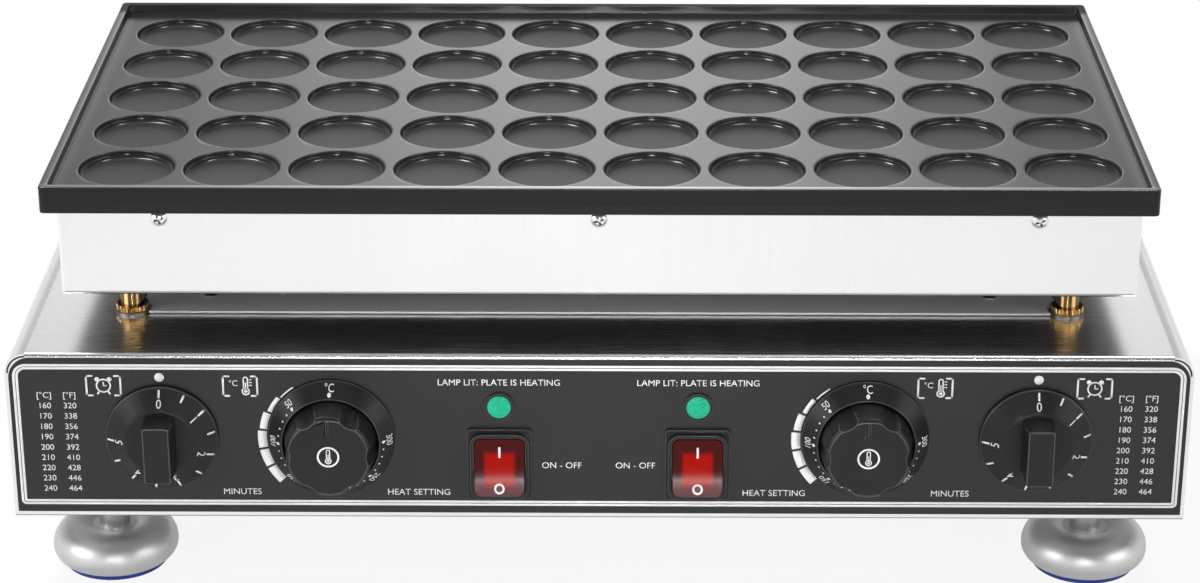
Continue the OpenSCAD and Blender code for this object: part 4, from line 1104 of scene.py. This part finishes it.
# Soft boxes: place and size in metres, watts, and spread in degrees
SOFT_BOXES = {
    "over_left": ((-0.91, 0.48, 2.03), (0.4, 0.4), 27, 180),
    "over_right": ((0.63, 0.23, 2.2), (0.35, 0.35), 13, 180),
    "low_left": ((-1.65, -0.95, 0.75), (1.2, 0.7), 12, 180),
    "low_right": ((1.65, -0.95, 0.75), (1.2, 0.7), 8, 180),
    "front": ((0.0, -1.7, 0.5), (0.3, 0.2), 0.28, 26),
}
LIGHT_AIM = Vector((0, 0, 0.15))


def add_panel_light(name, place, size, watts, spread_deg):
    """A soft rectangular lamp that looks at the middle of the object."""
    lamp = bpy.data.lights.new(name, "AREA")
    lamp.shape = "RECTANGLE"
    lamp.size, lamp.size_y = size
    lamp.energy = watts
    lamp.spread = math.radians(spread_deg)
    light = bpy.data.objects.new(name, lamp)
    light.location = place
    light.rotation_mode = "QUATERNION"
    light.rotation_quaternion = (LIGHT_AIM - Vector(place)).to_track_quat("-Z", "Y")
    light.visible_camera = False
    bpy.context.scene.collection.objects.link(light)


# Sky: ramps along a direction's height (0 level, 1 straight up) or its depth (-1 in front, 1 behind)
FILL = 0.32
SKY_FRONT = 0.25
SKY_BEHIND = 0.55
SKY_DEPTH = (-0.3, 0.5)
SKY_DIM = 0.7
SKY_DIM_HEIGHT = (0.45, 0.6)
GREY_START = (0.14, 0.28)
GREY_END = (0.72, 0.9)
TOP_WHITE = 0.55
GLOW = 2.5
GLOW_WIDE = 0.115
GLOW_DEPTH = (0.3, 0.6)
GLOW_START = (0.1, 0.25)
GLOW_END = (0.45, 0.7)


def add_world():
    """White round the horizon, paler overhead, grey between, and a lit backdrop behind the object.

    Rays from matt surfaces see an even fill instead.
    """
    world = bpy.data.worlds.new("studio")
    world.use_nodes = True
    sky = Graph(world.node_tree)
    across, along, high = sky.split(sky.add("TexCoord", out="Generated"))
    grey_sky = SKY_FRONT + (SKY_BEHIND - SKY_FRONT) * along.ramp(*SKY_DEPTH)
    grey_sky = grey_sky * (1 - SKY_DIM * high.ramp(*SKY_DIM_HEIGHT))
    between = high.ramp(*GREY_START) - TOP_WHITE * high.ramp(*GREY_END)
    backdrop = across.bell(GLOW_WIDE) * along.ramp(*GLOW_DEPTH)
    backdrop = backdrop * high.ramp(*GLOW_START) * (1 - high.ramp(*GLOW_END))
    shown = 1 - between * (1 - grey_sky) + GLOW * backdrop
    straight, gloss, clear = sky.rays()
    background = world.node_tree.nodes["Background"]
    sky.feed(background.inputs["Color"], grey(1.0))
    sky.feed(background.inputs["Strength"], FILL + straight.most(gloss).most(clear) * (shown - FILL))
    bpy.context.scene.world = world


def light_studio():
    """Two overhead boxes, two low panels at the sides and a narrow beam from the front."""
    for name, settings in SOFT_BOXES.items():
        add_panel_light(name, *settings)
    add_world()
    bpy.context.scene.view_settings.view_transform = "Standard"


# Build

add_camera()
dress_solids()
cast_plate(coated_casting(box("baking_plate")[1][2] - RIM_RISE))
white_ink = ink("white_ink", grey(0.84), grey(0.93))
lens_green = lamp_glass()
# Painted highlight: a lighter, glossier plastic for the controls' sharp edges
edge_highlight = moulded("worn_plastic", grey(0.05), grey(0.065), 0.32, level=0.4)
print_panel(white_ink, box("control_overlay")[0][1])
for hand in SIDES:
    cut_lens(hand, lens_green)
    print_timer(hand, white_ink)
    print_thermostat(hand, white_ink)
    print_knob(hand, white_ink)
    print_rocker(hand, white_ink)
    soften_controls(hand, edge_highlight)
add_floor()
light_studio()
